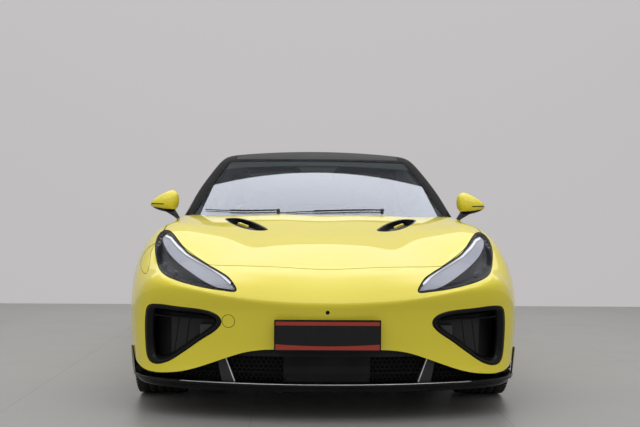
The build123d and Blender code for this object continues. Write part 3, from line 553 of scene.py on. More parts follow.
class Finish:  # one material with a Principled surface
    def __init__(self, name, **sockets):
        self.material = bpy.data.materials.new(name)
        self.material.use_nodes = True
        self.tree = self.material.node_tree
        self.surface = self.tree.nodes["Principled BSDF"]
        self.out = self.tree.nodes["Material Output"]
        for key, value in sockets.items():
            self.put(key, value)

    def put(self, key, value):
        self.feed(self.surface.inputs[key.replace("_", " ")], value)

    def feed(self, socket, value):
        if isinstance(value, Wire):
            self.tree.links.new(value.socket, socket)
        elif isinstance(value, tuple) and len(value) == 3 and socket.type == "RGBA":
            socket.default_value = (*value, 1)
        else:
            socket.default_value = value

    def node(self, kind, settings=None, inputs=None, output=0):
        n = self.tree.nodes.new(kind)
        for key, value in (settings or {}).items():
            setattr(n, key, value)
        for key, value in (inputs or {}).items():
            self.feed(n.inputs[key], value)
        return Wire(self, n.outputs[output])

    def position(self):
        return self.node("ShaderNodeTexCoord", output="Object")

    def axes(self):
        split = self.node("ShaderNodeSeparateXYZ", inputs={0: self.position()})
        n = split.socket.node
        return [Wire(self, n.outputs[i]) for i in range(3)]

    def noise(self, scale, detail=3.0, rough=0.5, vector=None):
        return self.node(
            "ShaderNodeTexNoise", {},
            {"Vector": vector or self.position(), "Scale": scale, "Detail": detail, "Roughness": rough})

    def cells(self, scale):
        return self.node("ShaderNodeTexVoronoi", {}, {"Vector": self.position(), "Scale": scale}, "Distance")

    def mix(self, share, a, b):
        return self.node("ShaderNodeMix", {"data_type": "RGBA"}, {0: share, 6: a, 7: b}, 2)

    def spread(self, value, lo, hi, a=0.0, b=1.0):
        return self.node("ShaderNodeMapRange", {}, {0: value, 1: lo, 2: hi, 3: a, 4: b})

    def bump(self, height, strength=0.3, distance=0.001):
        self.put(
            "Normal",
            self.node("ShaderNodeBump", {}, {"Height": height, "Strength": strength, "Distance": distance}))
        return self


def paintFinish(name, colour, dust=0.5):
    # solid paint under clear coat: faint orange peel, a breath of dust in the clear coat
    f = Finish(
        name, Roughness=0.42, Coat_Weight=0.9, Coat_Roughness=0.025, Coat_IOR=1.45, Specular_IOR_Level=0.05)
    cloud = f.noise(1.7, 4.0)
    speck = f.noise(900.0, 1.0)
    tone = f.spread(cloud, 0.35, 0.65)
    deep = tuple(c * 0.955 for c in colour)
    f.put("Base Color", f.mix(tone * 0.6 + speck * 0.25, colour, deep))
    f.put("Roughness", 0.36 + f.noise(9.0, 5.0) * 0.12 * dust + speck * 0.04)
    return f.bump(f.noise(260.0, 2.0) * 0.5 + f.noise(70.0, 1.0), 0.035, 0.0006).material


def trimFinish(name, colour, rough, grain, coat=0.0, depth=0.25, metal=0.0, shine=0.3):
    # moulded plastic or rubber with a fine grain and slightly polished patches
    f = Finish(name, Coat_Roughness=0.06, Metallic=metal, Specular_IOR_Level=shine, Coat_Weight=coat)
    pits = f.cells(grain)
    cloud = f.noise(6.0, 5.0)
    light = tuple(min(1, c * 1.25 + 0.004) for c in colour)
    f.put("Base Color", f.mix(f.spread(cloud, 0.3, 0.75), colour, light))
    f.put("Roughness", rough + f.spread(cloud, 0.3, 0.7, -0.05, 0.07) + pits * 0.05)
    return f.bump(pits + f.noise(grain * 0.4, 3.0) * 0.5, depth, 0.0005).material


def glassFinish(name, tint, mirror, grazing, power=3.0, reflection=(0.9, 0.92, 0.96), reflectionMask=None):
    # a thin pane: a share of it mirrors, more towards a grazing look, and the rest is clear
    f = Finish(name, Metallic=1.0)
    f.put("Base Color", f.mix(f.noise(3.0, 4.0) * 0.3, reflection, tuple(0.94 * c for c in reflection)))
    f.put("Roughness", 0.006 + f.noise(14.0, 4.0) * 0.02)
    see = f.node("ShaderNodeBsdfTransparent", {}, {"Color": (*tint, 1)})
    facing = f.node("ShaderNodeLayerWeight", {}, {"Blend": 0.5}, 1)
    share = (facing ** power * grazing + mirror).least(1.0)
    if reflectionMask:
        # painted reflection outline: the mirror share falls to a small part above a line across the top,
        # lower at the sides, and beyond an edge at each side, so the reflection ends there
        x, y, z = f.axes()
        share = share * f.spread(
            z + x * x * reflectionMask["drop"], reflectionMask["height"], reflectionMask["height"] + 0.006, 1.0, reflectionMask["share"])
        share = share * f.spread(
            x.size() + (z - 0.94) * reflectionMask["lean"], reflectionMask["edge"], reflectionMask["edge"] + 0.005, 1.0, reflectionMask["share"])
    blend = f.node("ShaderNodeMixShader", {}, {0: share, 1: see, 2: Wire(f, f.surface.outputs[0])})
    f.tree.links.new(blend.socket, f.out.inputs[0])
    return f.material


def metalFinish(name, colour, rough, brush=0.0):
    # bare metal with a brushed grain across the car
    f = Finish(name, Metallic=1.0)
    x, y, z = f.axes()
    alongBrush, acrossBrush = 4.0, 500.0
    stretch = f.node("ShaderNodeCombineXYZ", {}, {0: x * alongBrush, 1: y * acrossBrush, 2: z * acrossBrush})
    lines = f.noise(1.0, 2.0, vector=stretch)
    cloud = f.noise(11.0, 5.0)
    f.put("Base Color", f.mix(f.spread(cloud, 0.3, 0.7), colour, tuple(c * 0.82 for c in colour)))
    f.put("Roughness", rough + cloud * 0.08 + lines * brush)
    return f.bump(lines, 0.12 * (brush > 0) + 0.02, 0.0003).material


def leatherFinish(name, colour):
    # grained hide: pebbled cells, creases and a worn sheen in patches
    f = Finish(name, Sheen_Weight=0.15, Specular_IOR_Level=0.4)
    pebble = f.cells(620.0)
    crease = f.noise(26.0, 6.0)
    worn = f.spread(f.noise(5.0, 4.0), 0.45, 0.7)
    f.put("Base Color", f.mix(worn * 0.5 + pebble * 0.15, colour, tuple(c * 1.5 + 0.01 for c in colour)))
    f.put("Roughness", 0.55 - worn * 0.12 + pebble * 0.08)
    return f.bump(pebble + crease * 0.6, 0.45, 0.0008).material


def plateFinish(name, middle):
    # black with a red band along the top and bottom, no lettering
    f = Finish(name + "Face", Roughness=0.35, Specular_IOR_Level=0.2)
    x, y, z = f.axes()
    away = (z - middle).size()
    bulge = x * x * 0.16
    red = (away + bulge * (z - middle).below(0.0)).above(0.047)
    red = red * away.below(0.0635)
    wear = f.noise(40.0, 4.0)
    face = f.mix(red, (0.008, 0.008, 0.009), (0.36, 0.045, 0.028))
    f.put("Base Color", f.mix(wear * 0.06, face, (0.1, 0.1, 0.1)))
    f.put("Roughness", 0.28 + wear * 0.15)
    return f.bump(f.noise(500.0, 2.0), 0.05, 0.0004).material


# painted reflection outline for the windshield: above this height and outside these side edges the glass
# mirrors only a small share
paintedReflectionMask = {"height": 1.236, "drop": 0.19, "share": 0.06, "edge": 0.735, "lean": 0.3}
finishes = {
    "paint": paintFinish("yellowPaint", (0.8, 0.69, 0.048)),
    "gloss": trimFinish("glossBlack", (0.006, 0.006, 0.007), 0.16, 1400.0, 0.12, 0.02, shine=0.06),
    "roofBlack": trimFinish("roofBlack", (0.012, 0.013, 0.013), 0.34, 1200.0, 0.0, 0.03, shine=0.06),
    "pillar": trimFinish("pillarBlack", (0.006, 0.006, 0.007), 0.22, 1400.0, 0.0, 0.02, shine=0.012),
    "satin": trimFinish("satinBlack", (0.014, 0.014, 0.015), 0.42, 900.0, 0.0, 0.18),
    "plastic": trimFinish("grainedBlack", (0.02, 0.02, 0.021), 0.62, 700.0, 0.0, 0.5),
    "liner": trimFinish("liner", (0.012, 0.012, 0.012), 0.85, 300.0, 0.0, 0.6),
    "cabin": trimFinish("cabinTrim", (0.045, 0.045, 0.048), 0.62, 650.0, 0.0, 0.5),
    "screen": glassFinish("clearGlass", (0.62, 0.66, 0.66), 0.05, 1.05, 3.0, (0.855, 0.88, 0.99), paintedReflectionMask),
    "sideGlass": glassFinish("sideGlass", (0.62, 0.67, 0.67), 0.06, 0.9, 4.0),
    "darkGlass": glassFinish("privacyGlass", (0.3, 0.33, 0.33), 0.06, 0.9, 4.0),
    "lens": glassFinish("lampLens", (0.93, 0.94, 0.96), 0.004, 0.1, 4.0),
    "lampInner": trimFinish("lampHousing", (0.006, 0.006, 0.008), 0.3, 900.0, 0.0, 0.05, shine=0.04),
    "lampRib": trimFinish("lampRib", (0.045, 0.045, 0.052), 0.25, 900.0, 0.5, 0.05),
    "guide": trimFinish("lightGuide", (0.235, 0.235, 0.265), 0.28, 1200.0, 0.25, 0.05),
    "guideBright": trimFinish("lightGuideEdge", (0.9, 0.9, 0.92), 0.2, 1500.0, 0.8, 0.02),
    "frit": trimFinish("glassBorder", (0.01, 0.01, 0.011), 0.3, 1500.0, 0.3, 0.03),
    "roofCloth": trimFinish("roofCloth", (0.055, 0.055, 0.06), 0.9, 1100.0, 0.0, 0.7),
    "rubber": trimFinish("tyreRubber", (0.016, 0.016, 0.016), 0.78, 420.0, 0.0, 0.5),
    "redLens": glassFinish("redLens", (0.85, 0.03, 0.03), 0.03, 0.5, 4.0),
    "redGuide": trimFinish("redGuide", (0.55, 0.01, 0.01), 0.25, 1200.0, 0.8, 0.03),
    "caliper": trimFinish("caliperPaint", (0.03, 0.03, 0.032), 0.35, 500.0, 0.5, 0.15),
    "darkAlloy": metalFinish("darkAlloy", (0.085, 0.085, 0.09), 0.3, 0.04),
    "seat": leatherFinish("seatLeather", (0.05, 0.05, 0.053)),
    "leather": leatherFinish("wheelLeather", (0.022, 0.022, 0.023)),
    "thread": trimFinish("thread", (0.3, 0.28, 0.05), 0.8, 1800.0, 0.0, 0.3),
    "castAlloy": metalFinish("castAlloy", (0.42, 0.43, 0.44), 0.5, 0.02),
    "chrome": metalFinish("polishedMetal", (0.8, 0.81, 0.83), 0.08),
    "alloy": metalFinish("machinedAlloy", (0.66, 0.67, 0.69), 0.22, 0.1),
    "steel": metalFinish("greySteel", (0.36, 0.37, 0.38), 0.36, 0.08),
    "darkSteel": metalFinish("darkSteel", (0.07, 0.07, 0.075), 0.45, 0.05),
}
print("finishes made")

bodySkin = wrap(
    lowerBody, (-1.03, -0.05, 0.1), (1.03, 4.77, 1.06), (-0.55, 0.8, 0.4), (0.55, 4.1, 0.5), 0.0215,
    [(2, 0.545, 0.8, 0.0075)])
cabinSkin = wrap(
    upperBody, (-1.0, 1.15, 0.75), (1.0, 4.6, 1.46), (-0.3, 2.2, 0.85), (0.3, 3.3, 0.95), 0.0235)
print("skins wrapped", len(bodySkin[1]), len(cabinSkin[1]))


def addPiece(obj, name, material, body, slot, *nodes):
    # name, material, the body that it rides on, its slot (not used) and the frame's nodes that it stands for
    obj.name = name
    obj.data.name = name
    if material is not None:
        obj.data.materials.clear()
        obj.data.materials.append(finishes[material] if isinstance(material, str) else material)
    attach(obj, body)
    if nodes:
        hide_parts(*nodes)
    return obj


hood = {
    "tip": (0.569, 0.33), "front": 0.23, "side": 0.8455, "corner": 0.73, "rear": 1.592, "rearMiddle": 1.39,
    "hinge": (1.65, 0.915), "armX": (0.7, 0.712), "gap": 0.001
}


def hoodOutline(grow=0.0, rear=0.0):
    tip = (hood["tip"][0] + grow * 0.5, hood["tip"][1] - grow)
    corner = (hood["side"] + grow, hood["corner"] - grow * 0.3)
    back = (hood["side"] + grow, hood["rear"] + rear)
    front = arc((-tip[0], tip[1]), (0, hood["front"] - grow), tip)
    rearEdge = arc(back, (0, hood["rearMiddle"] + rear), (-back[0], back[1]))
    return front + [corner] + rearEdge + [(-corner[0], corner[1])]


trunkLid = {
    "side": 0.62, "corner": 4.257, "middle": 4.285, "thickness": 0.006, "hinge": (4.15, 0.955),
    "armX": (0.48, 0.492)
}


def lidOutline(grow=0.0, front=0.0):
    side, corner = trunkLid["side"] + grow, trunkLid["corner"] - front
    return (
        arc((-side, corner), (0, trunkLid["middle"] - front), (side, corner)) + [(side, 4.9), (-side, 4.9)])


lampOutline = loopThrough(
    [
        (0.421, 0.602), (0.455, 0.65), (0.509, 0.68), (0.571, 0.707), (0.636, 0.737), (0.692, 0.768),
        (0.737, 0.808), (0.78, 0.848), (0.815, 0.867), (0.846, 0.866), (0.864, 0.842), (0.859, 0.795),
        (0.842, 0.75), (0.812, 0.7), (0.765, 0.667), (0.701, 0.644), (0.628, 0.626), (0.558, 0.613),
        (0.485, 0.604)], 5)
intakeOutline = loopThrough(
    [
        (0.487, 0.454), (0.508, 0.49), (0.574, 0.512), (0.7, 0.523), (0.79, 0.53), (0.844, 0.52),
        (0.862, 0.47), (0.864, 0.36), (0.852, 0.27), (0.812, 0.242), (0.745, 0.258), (0.67, 0.306),
        (0.59, 0.364), (0.516, 0.414)], 6)
throatOutline = loopThrough(
    [
        (0.524, 0.45), (0.54, 0.472), (0.595, 0.483), (0.71, 0.49), (0.79, 0.497), (0.818, 0.482),
        (0.826, 0.4), (0.822, 0.31), (0.806, 0.278), (0.758, 0.28), (0.68, 0.33), (0.6, 0.39), (0.545, 0.428)
    ], 6)
lipLine = [
    (0.0, 0.336), (0.235, 0.335), (0.303, 0.331), (0.38, 0.318), (0.457, 0.293), (0.53, 0.266), (0.6, 0.241),
    (0.67, 0.221), (0.745, 0.209), (0.82, 0.205), (0.872, 0.212), (0.905, 0.226), (0.932, 0.244),
    (0.96, 0.257), (1.0, 0.262)]
ventOutline = loopThrough(
    [
        (0.298, 0.955), (0.345, 1.1), (0.4, 1.215), (0.47, 1.318), (0.515, 1.338), (0.556, 1.312),
        (0.548, 1.235), (0.515, 1.135), (0.457, 1.03), (0.385, 0.96), (0.325, 0.93)], 6)


door = {
    "hingeX": 0.9055, "hingeS": 1.545, "hingeRadius": 0.075, "reach": 1.305, "inner": 0.8155, "sill": 0.262,
    "hoodStep": 0.83, "hoodStepX": 0.8555, "notch": 0.055, "outside": 1.1, "thickness": 0.13
}


def doorTool(grow):
    # the door seen from above, left side, with the step that lets the hood corner pass
    hx, hs, outside = door["hingeX"], door["hingeS"], door["outside"]
    r, reach, inner = door["hingeRadius"] + grow, door["reach"] + grow, door["inner"] - grow
    a0, a1 = math.acos(min(1, (outside - hx) / reach)), math.pi / 2 + math.asin((hx - inner) / reach)
    rear = [(hx + reach * math.cos(a), hs + reach * math.sin(a)) for a in np.linspace(a0, a1, 24)]
    front = [(hx + r * math.cos(a), hs + r * math.sin(a)) for a in np.linspace(math.pi, 2 * math.pi, 32)]
    outline = rear + [(inner, hs)] + front + [(outside, hs)]
    tool = prism(outline, door["sill"] - grow, 1.1)
    notch, floor = door["notch"] + grow, door["hoodStep"] + grow
    ring = [(hx + notch * math.cos(a), hs + notch * math.sin(a)) for a in np.linspace(0, -math.pi, 24)]
    ahead = prism([(1.11, hs - 0.2), (1.11, hs)] + ring + [(0.59, hs), (0.59, hs - 0.2)], floor, 1.2)
    inside = block((0.58, door["hoodStepX"] - grow), (hs - 0.085 + grow, hs + 0.085 - grow), (floor, 1.2))
    return combine(tool, [ahead, inside])


def mirrorCopy(obj, name):
    # the same mesh on the other side of the car
    mesh = obj.data.copy()
    copy = addObject(name, mesh)
    mesh.transform(Matrix.Diagonal((-1, 1, 1, 1)))
    mesh.flip_normals()
    return copy


def onSide(obj, side):
    # a piece made on the left stays there, or goes over to the right
    if side > 0:
        return obj
    other = mirrorCopy(obj, "copy")
    drop(obj)
    return other


def wholeBody(p):
    # the lower body flowing into the rear pillars and the deck
    s = p[:, 1]
    k = 0.004 + 0.11 * step(3.15, 3.75, s) * (1 - 0.6 * step(4.2, 4.5, s))
    return -blendMax(-lowerBody(p), -upperBody(p), k)


wholeSkin = wrap(wholeBody, (-1.03, 2.3, 0.1), (1.03, 4.77, 1.5), (-0.3, 2.6, 0.4), (0.3, 4.0, 0.62), 0.0235)
shut = car["shutLine"]
lipCurve = curve([q[0] for q in lipLine], [q[1] for q in lipLine])
lipSmooth = [(x, float(lipCurve(x))) for x in np.linspace(0.0, 1.0, 60)]
belowLip = (
    [(-1.2, 0.0), (-1.2, 0.262)] + [(-x, z) for x, z in reversed(lipSmooth[1:])] + lipSmooth
    + [(1.2, 0.262), (1.2, 0.0)])


def lampTool(grow):
    return prism(grown(lampOutline, grow), 0.0, 0.85, "s", True)


def hoodTool():
    return prism(hoodOutline(shut / 2 + hood["gap"], 0.012), 0.45, 1.25)


archDepth = {"frontAxle": 0.556, "rearAxle": 0.694}  # where each arch starts, from the middle


def archTool(axle, inner=None):
    return cylinder(
        (car[axle], car["hubHeight"]), car["archRadius"], inner or archDepth[axle], 1.2, "x", True)


def doorTools(grow):
    left = doorTool(grow)
    return [left, mirrorCopy(left, "tool")]


def glassTool(grow=0.0):
    # the whole cabin, to cut what meets it
    return closedSkin("tool", cabinSkin, grow)


def ringTool(centre, radius, width):
    # a round joint seen from the front
    ring = cylinder(centre, radius, -0.1, 0.5, "s")
    return combine(ring, [cylinder(centre, radius - width, -0.2, 0.6, "s")])


def panel(name, source, choose, keep, cuts, material, body, slot, nodes=(), thickness=None, lift=0.0):
    # a wall behind the chosen part of a skin, kept inside some tools, cut by others, and handed over
    skin, f = source
    obj = shellPatch(name, skin, choose, thickness or car["skin"], lift)
    combine(obj, keep, "INTERSECT")
    combine(obj, cuts)
    if len(obj.data.polygons) == 0:
        raise RuntimeError(f"{name} came out empty")
    polish(obj, (lambda p: f(p) - lift) if lift else f)
    return addPiece(obj, name, material, body, slot, *nodes)


def evenLoop(points, count):
    # count points at equal steps round the loop
    p = np.array(points + points[:1], float)
    run = np.concatenate([[0], np.cumsum(np.hypot(*np.diff(p, axis=0).T))])
    at = np.linspace(0, run[-1], count, endpoint=False)
    return np.column_stack([np.interp(at, run, p[:, 0]), np.interp(at, run, p[:, 1])])


def onFront(f, xz, inside=1.0):
    # points seen from the front, laid on the skin
    start = np.column_stack([xz[:, 0], np.full(len(xz), inside), xz[:, 1]])
    end = start.copy()
    end[:, 1] = -0.1
    return landOn(f, start, end)


def gridFaces(rows, cols, closed=True):
    # four-sided faces between rows of points
    out = []
    for i in range(rows - 1):
        for j in range(cols if closed else cols - 1):
            k = (j + 1) % cols
            out.append((i * cols + j, i * cols + k, (i + 1) * cols + k, (i + 1) * cols + j))
    return out


def rimLoft(name, f, outer, inner, profile, count=132):
    # a ring between two front-view loops; profile gives (share across, depth under the skin)
    a, b = evenLoop(outer, count), evenLoop(inner, count)
    rows = []
    for share, depth in profile:
        p = onFront(f, a + (b - a) * share)
        rows.append(p - slopeOf(f, p) * depth if depth < 0.02 else p + np.array([0, depth, 0]))
    return faceOut(makeMesh(name, np.concatenate(rows), gridFaces(len(rows), count)))


def both(left):
    # the piece and its mirror image as one object
    return joined([left, mirrorCopy(left, "copy")])


def joined(objs):
    bm = bmesh.new()
    for obj in objs:
        bm.from_mesh(obj.data)
    bm.to_mesh(objs[0].data)
    bm.free()
    drop(*objs[1:])
    return objs[0]


def sweep(name, path, section, closed=False):
    # path rows: centre, side vector, up vector; section: (side, up) pairs
    rows = []
    for centre, sideways, up in path:
        rows.append([np.array(centre) + np.array(sideways) * a + np.array(up) * b for a, b in section])
    n = len(section)
    verts = np.concatenate(rows)
    faces = gridFaces(len(rows), n)
    if closed:
        faces += [(len(rows) * n - n + j, len(rows) * n - n + (j + 1) % n, (j + 1) % n, j) for j in range(n)]
    else:
        faces += [tuple(range(n)), tuple(range((len(rows) - 1) * n, len(rows) * n))]
    return faceOut(makeMesh(name, verts, faces))


def tube(name, points, radius, count=12):
    # a round bar along the points
    p = np.array(points, float)
    d = np.gradient(p, axis=0)
    d /= np.linalg.norm(d, axis=1)[:, None]
    ref = np.array([0.0, 0.0, 1.0]) if abs(d[0][2]) < 0.9 else np.array([0.0, 1.0, 0.0])
    path = []
    for q, t in zip(p, d):
        a = np.cross(t, ref)
        a /= np.linalg.norm(a)
        path.append((q, a, np.cross(a, t)))
    return sweep(name, path, oval(radius, radius, count))


def lathe(name, profile, count=96, axis=(0.0, 0.0, 0.0)):
    # profile rows (x, radius) turned about a line along x through axis
    rows = []
    w = angles(count)
    for x, r in profile:
        rows.append(
            np.column_stack([np.full(count, x + axis[0]), axis[1] + r * np.cos(w), axis[2] + r * np.sin(w)]))
    return faceOut(makeMesh(name, np.concatenate(rows), gridFaces(len(rows), count)))


# one node tree that puts a small piece on every point of a mesh
def repeatTree():
    tree = bpy.data.node_groups.new("repeatPiece", "GeometryNodeTree")
    for label, kind in (
        ("Points", "Geometry"), ("Piece", "Object"), ("Size", "Float"), ("Material", "Material")
    ):
        tree.interface.new_socket(label, in_out="INPUT", socket_type="NodeSocket" + kind)
    tree.interface.new_socket("Result", in_out="OUTPUT", socket_type="NodeSocketGeometry")
    make = tree.nodes.new
    source, out = make("NodeGroupInput"), make("NodeGroupOutput")
    info, put = make("GeometryNodeObjectInfo"), make("GeometryNodeInstanceOnPoints")
    real, paintIt = make("GeometryNodeRealizeInstances"), make("GeometryNodeSetMaterial")
    turn = make("GeometryNodeInputNamedAttribute")
    turn.data_type = "FLOAT_VECTOR"
    turn.inputs["Name"].default_value = "turn"
    link = tree.links.new
    link(source.outputs["Points"], put.inputs["Points"])
    link(source.outputs["Piece"], info.inputs["Object"])
    link(info.outputs["Geometry"], put.inputs["Instance"])
    link(turn.outputs[0], put.inputs["Rotation"])
    link(source.outputs["Size"], put.inputs["Scale"])
    link(put.outputs[0], real.inputs[0])
    link(real.outputs[0], paintIt.inputs["Geometry"])
    link(source.outputs["Material"], paintIt.inputs["Material"])
    link(paintIt.outputs[0], out.inputs[0])
    return tree


repeatGroup = repeatTree()


def repeat(name, piece, points, turns, material, size=1.0):
    # piece is modelled about the origin; turns are angles about x, y, z
    holder = makeMesh("points", np.array(points, float), [])
    mark = holder.data.attributes.new("turn", "FLOAT_VECTOR", "POINT")
    mark.data.foreach_set("vector", np.array(turns, np.float32).ravel())
    mod = holder.modifiers.new("repeat", "NODES")
    mod.node_group = repeatGroup
    values = {"Piece": piece, "Size": size, "Material": finishes[material]}
    for item in repeatGroup.interface.items_tree:
        if item.name in values:
            mod[item.identifier] = values[item.name]
    holder.update_tag()
    graph = bpy.context.evaluated_depsgraph_get()
    mesh = bpy.data.meshes.new_from_object(holder.evaluated_get(graph))
    drop(holder, piece)
    return faceOut(addObject(name, mesh))


def smallBox(name, size, bevel=0.0, shift=(0, 0, 0)):
    # centred on the origin, in real coordinates
    bm = bmesh.new()
    bmesh.ops.create_cube(bm, size=1.0)
    for v in bm.verts:
        v.co = Vector(
            (v.co.x * size[0] + shift[0], v.co.y * size[1] + shift[1], v.co.z * size[2] + shift[2]))
    if bevel:
        bmesh.ops.bevel(bm, geom=bm.edges[:], offset=bevel, segments=2, affect="EDGES", profile=0.5)
    mesh = bpy.data.meshes.new(name)
    bm.to_mesh(mesh)
    bm.free()
    return addObject(name, mesh)


def boxAt(name, x, s, z, bevel=0.004):
    # a block from its limits with broken edges
    size = (x[1] - x[0], s[1] - s[0], z[1] - z[0])
    centre = ((x[0] + x[1]) / 2, (s[0] + s[1]) / 2 + noseY, (z[0] + z[1]) / 2)
    return smallBox(name, size, min(bevel, 0.45 * min(size)), centre)


lower, upper, whole = (bodySkin, lowerBody), (cabinSkin, upperBody), (wholeSkin, wholeBody)
across = (-1.2, 1.2)
# the body and slot, and often the node, that several pieces share
bodyTrim, bodyGloss = ("car_body", "black_trim"), ("car_body", "gloss_black")
bodyPaint, bodyCloth = ("car_body", "yellow_paint"), ("car_body", "seat_cloth")
lampGlass = ("car_body", "lamp_glass", ["headlights"])
grilleTrim = ("car_body", "black_trim", ["front_grilles"])
hoodTrim = ("hood", "black_trim", ["hood_panel"])
windowTrim = ("car_body", "gloss_black", ["rear_windows"])
tailRed = ("car_body", "red_lens", ["tail_light"])
dashTrim = ("car_body", "dash", "dashboard")


def zone(s=(-9, 9), z=(-9, 9), out=(-1, 9), side=0):
    # which points lie within these limits; out is measured from the middle, side is left 1 or right -1
    def choose(p):
        x = p[:, 0] * side if side else np.abs(p[:, 0])
        along = (p[:, 1] > s[0]) & (p[:, 1] < s[1])
        return along & (p[:, 2] > z[0]) & (p[:, 2] < z[1]) & (x > out[0]) & (x < out[1])

    return choose


# hood
panel(
    "hood", lower, zone(s=(0.2, 1.64), z=(0.62, 9), out=(-1, 0.89)),
    [prism(hoodOutline(-shut / 2 - hood["gap"], 0.0), 0.5, 1.2)],
    [lampTool(0.004), prism(ventOutline, 0.8, 1.1, "z", True), glassTool(0.006)],
    "paint", "hood", "yellow_paint", ["hood_panel"])

# front bumper with the tow cap's round joint, and fenders; the right one has the charging flap
towCap = {"centre": (-0.455, 0.461), "radius": 0.031, "groove": 0.0025}
cameraEye = {"centre": (0, 0.508), "radius": 0.0095}
flapLoop = loopThrough(
    [
        (-0.862, 0.806), (-0.905, 0.779), (-0.929, 0.745), (-0.93, 0.708), (-0.908, 0.674), (-0.872, 0.662),
        (-0.866, 0.7), (-0.874, 0.76)], 8)


def flapTool():
    return combine(prism(flapLoop, 0.1, 0.8, "s"), [prism(grown(flapLoop, -0.0024), 0.0, 0.9, "s")])


panel(
    "front_bumper_skin", lower, zone(s=(-9, 0.64)), [block((-1.1, 1.1), (-0.1, 0.5935), (0.14, 1.0))],
    [
        prism(belowLip, -0.1, 0.47, "s"), block((-1.1, 1.1), (0.46, 0.7), (0.0, 0.262)), hoodTool(),
        lampTool(0.0035), prism(intakeOutline, -0.1, 0.7, "s", True), archTool("frontAxle"),
        cylinder(cameraEye["centre"], cameraEye["radius"], -0.1, 0.3, "s"),
        ringTool(towCap["centre"], towCap["radius"], towCap["groove"]), flapTool()], "paint", *bodyPaint,
    ["front_bumper"])
panel(
    "fender_skins", lower, zone(s=(0.55, 1.6), out=(0.6, 9)),
    [block((0.6, 1.1), (0.5965, 1.545), (0.257, 1.1), True)],
    [
        hoodTool(), lampTool(0.0035), *doorTools(shut), archTool("frontAxle"),
        block((-0.8505, 0.8505), (0.8, 1.7), (0.5, 1.2)), flapTool()], "paint", *bodyPaint, ["front_fenders"]
)


def onDoor(obj, hand, part, material, slot, node="door"):
    return addPiece(obj, f"{hand}_{part}", material, f"{hand}_door", slot, f"{hand}_{node}")


# doors as solid blocks with their shut faces, the handle let into the skin
handleOutline = rounded([(2.5, 0.76), (2.755, 0.772), (2.755, 0.806), (2.5, 0.794)], 0.012)
for side, name in sides:
    skin = shellPatch(
        "door", bodySkin, zone(s=(1.4, 2.95), z=(-9, 1.0), out=(0.55, 9), side=side), door["thickness"])
    combine(skin, [onSide(doorTool(0.0), side)], "INTERSECT")
    combine(skin, [block(across, (-0.2, 4.9), (0.958, 1.6)), prism(handleOutline, 0.5, 1.2, "x", True)])
    polish(skin, lowerBody)
    onDoor(skin, name, "door_skin", "paint", "yellow_paint")

# quarter panels with the rear pillars, and the deck round the rear window
windowOutline = loopThrough(
    [
        (1.775, 0.948), (2.03, 1.15), (2.2, 1.272), (2.36, 1.338), (2.62, 1.366), (2.9, 1.35), (3.2, 1.294),
        (3.42, 1.215), (3.56, 1.135), (3.625, 1.055), (3.6, 1.0), (3.45, 0.962), (3.25, 0.95), (2.6, 0.948)],
    6)
windowFoot = arc((-0.56, 4.06), (0, 4.13), (0.56, 4.06))
backOutline = windowFoot + [
    (0.545, 3.75), (0.52, 3.45), (0.495, 3.16), (-0.495, 3.16), (-0.52, 3.45), (-0.545, 3.75)]
panel(
    "quarter_skins", whole, zone(s=(2.7, 9), z=(0.2, 9)), [block(across, (2.72, 4.8), (0.257, 1.5))],
    [
        *doorTools(shut), archTool("rearAxle"), block(across, (4.3005, 4.9), (0.0, 0.8635)),
        prism(lidOutline(shut, 0.0085), 0.8, 1.4), prism(grown(backOutline, 0.012), 0.9, 1.6),
        block((-0.5, 0.5), (2.0, 3.3), (0.9, 1.6)), block(across, (2.0, 3.168), (1.05, 1.6)),
        block(across, (3.9, 4.9), (0.0, 0.331)), prism(grown(windowOutline, 0.016), 0.3, 1.2, "x", True)],
    "paint", *bodyPaint, ["quarter_panels"])
panel(
    "trunk_lid_skin", whole, zone(s=(4.1, 9), z=(0.8, 9), out=(-1, 0.66)),
    [prism(lidOutline(-shut / 2, 0.0), 0.8655, 1.3)], [],
    "paint", "trunk_lid", "yellow_paint", ["trunk_lid"], trunkLid["thickness"])

# tail
tailBand = {"low": 0.772, "high": 0.861, "gap": 0.0035}
panel(
    "rear_bumper_skin", lower, zone(s=(4.2, 9)),
    [block(across, (4.3035, 4.9), (0.33, 0.861))],
    [block(across, (4.42, 4.9), (tailBand["low"], 0.9)), archTool("rearAxle"),
     prism(rounded([(-0.29, 0.475), (0.29, 0.475), (0.275, 0.64), (-0.275, 0.64)], 0.02), 4.4, 4.9, "s")],
    "paint", *bodyPaint, ["rear_bumper"])
panel(
    "rear_diffuser_skin", lower, zone(s=(3.2, 9), z=(-9, 0.45)),
    [block(across, (3.275, 4.9), (0.1, 0.3285))],
    [archTool("rearAxle"), block(across, (3.2, 3.9), (0.2545, 0.5))],
    "gloss", *bodyTrim, ["rear_diffuser"])
panel(
    "side_skirt_skins", lower, zone(s=(1.1, 3.4), z=(-9, 0.4), out=(0.6, 9)),
    [block((0.7, 1.2), (1.284, 3.272), (0.1, 0.2545), True)],
    [archTool("frontAxle"), archTool("rearAxle")],
    "gloss", *bodyGloss, ["side_skirts"], 0.03)


# glass and roof
def roofOutline(grow=0.0):
    front, back = 0.545 + grow, 0.5 + grow
    head = arc((-front, 2.225 - grow), (0, 2.15 - grow), (front, 2.225 - grow))
    return head + arc((back, 3.14 + grow), (0, 3.16 + grow), (-back, 3.14 + grow))


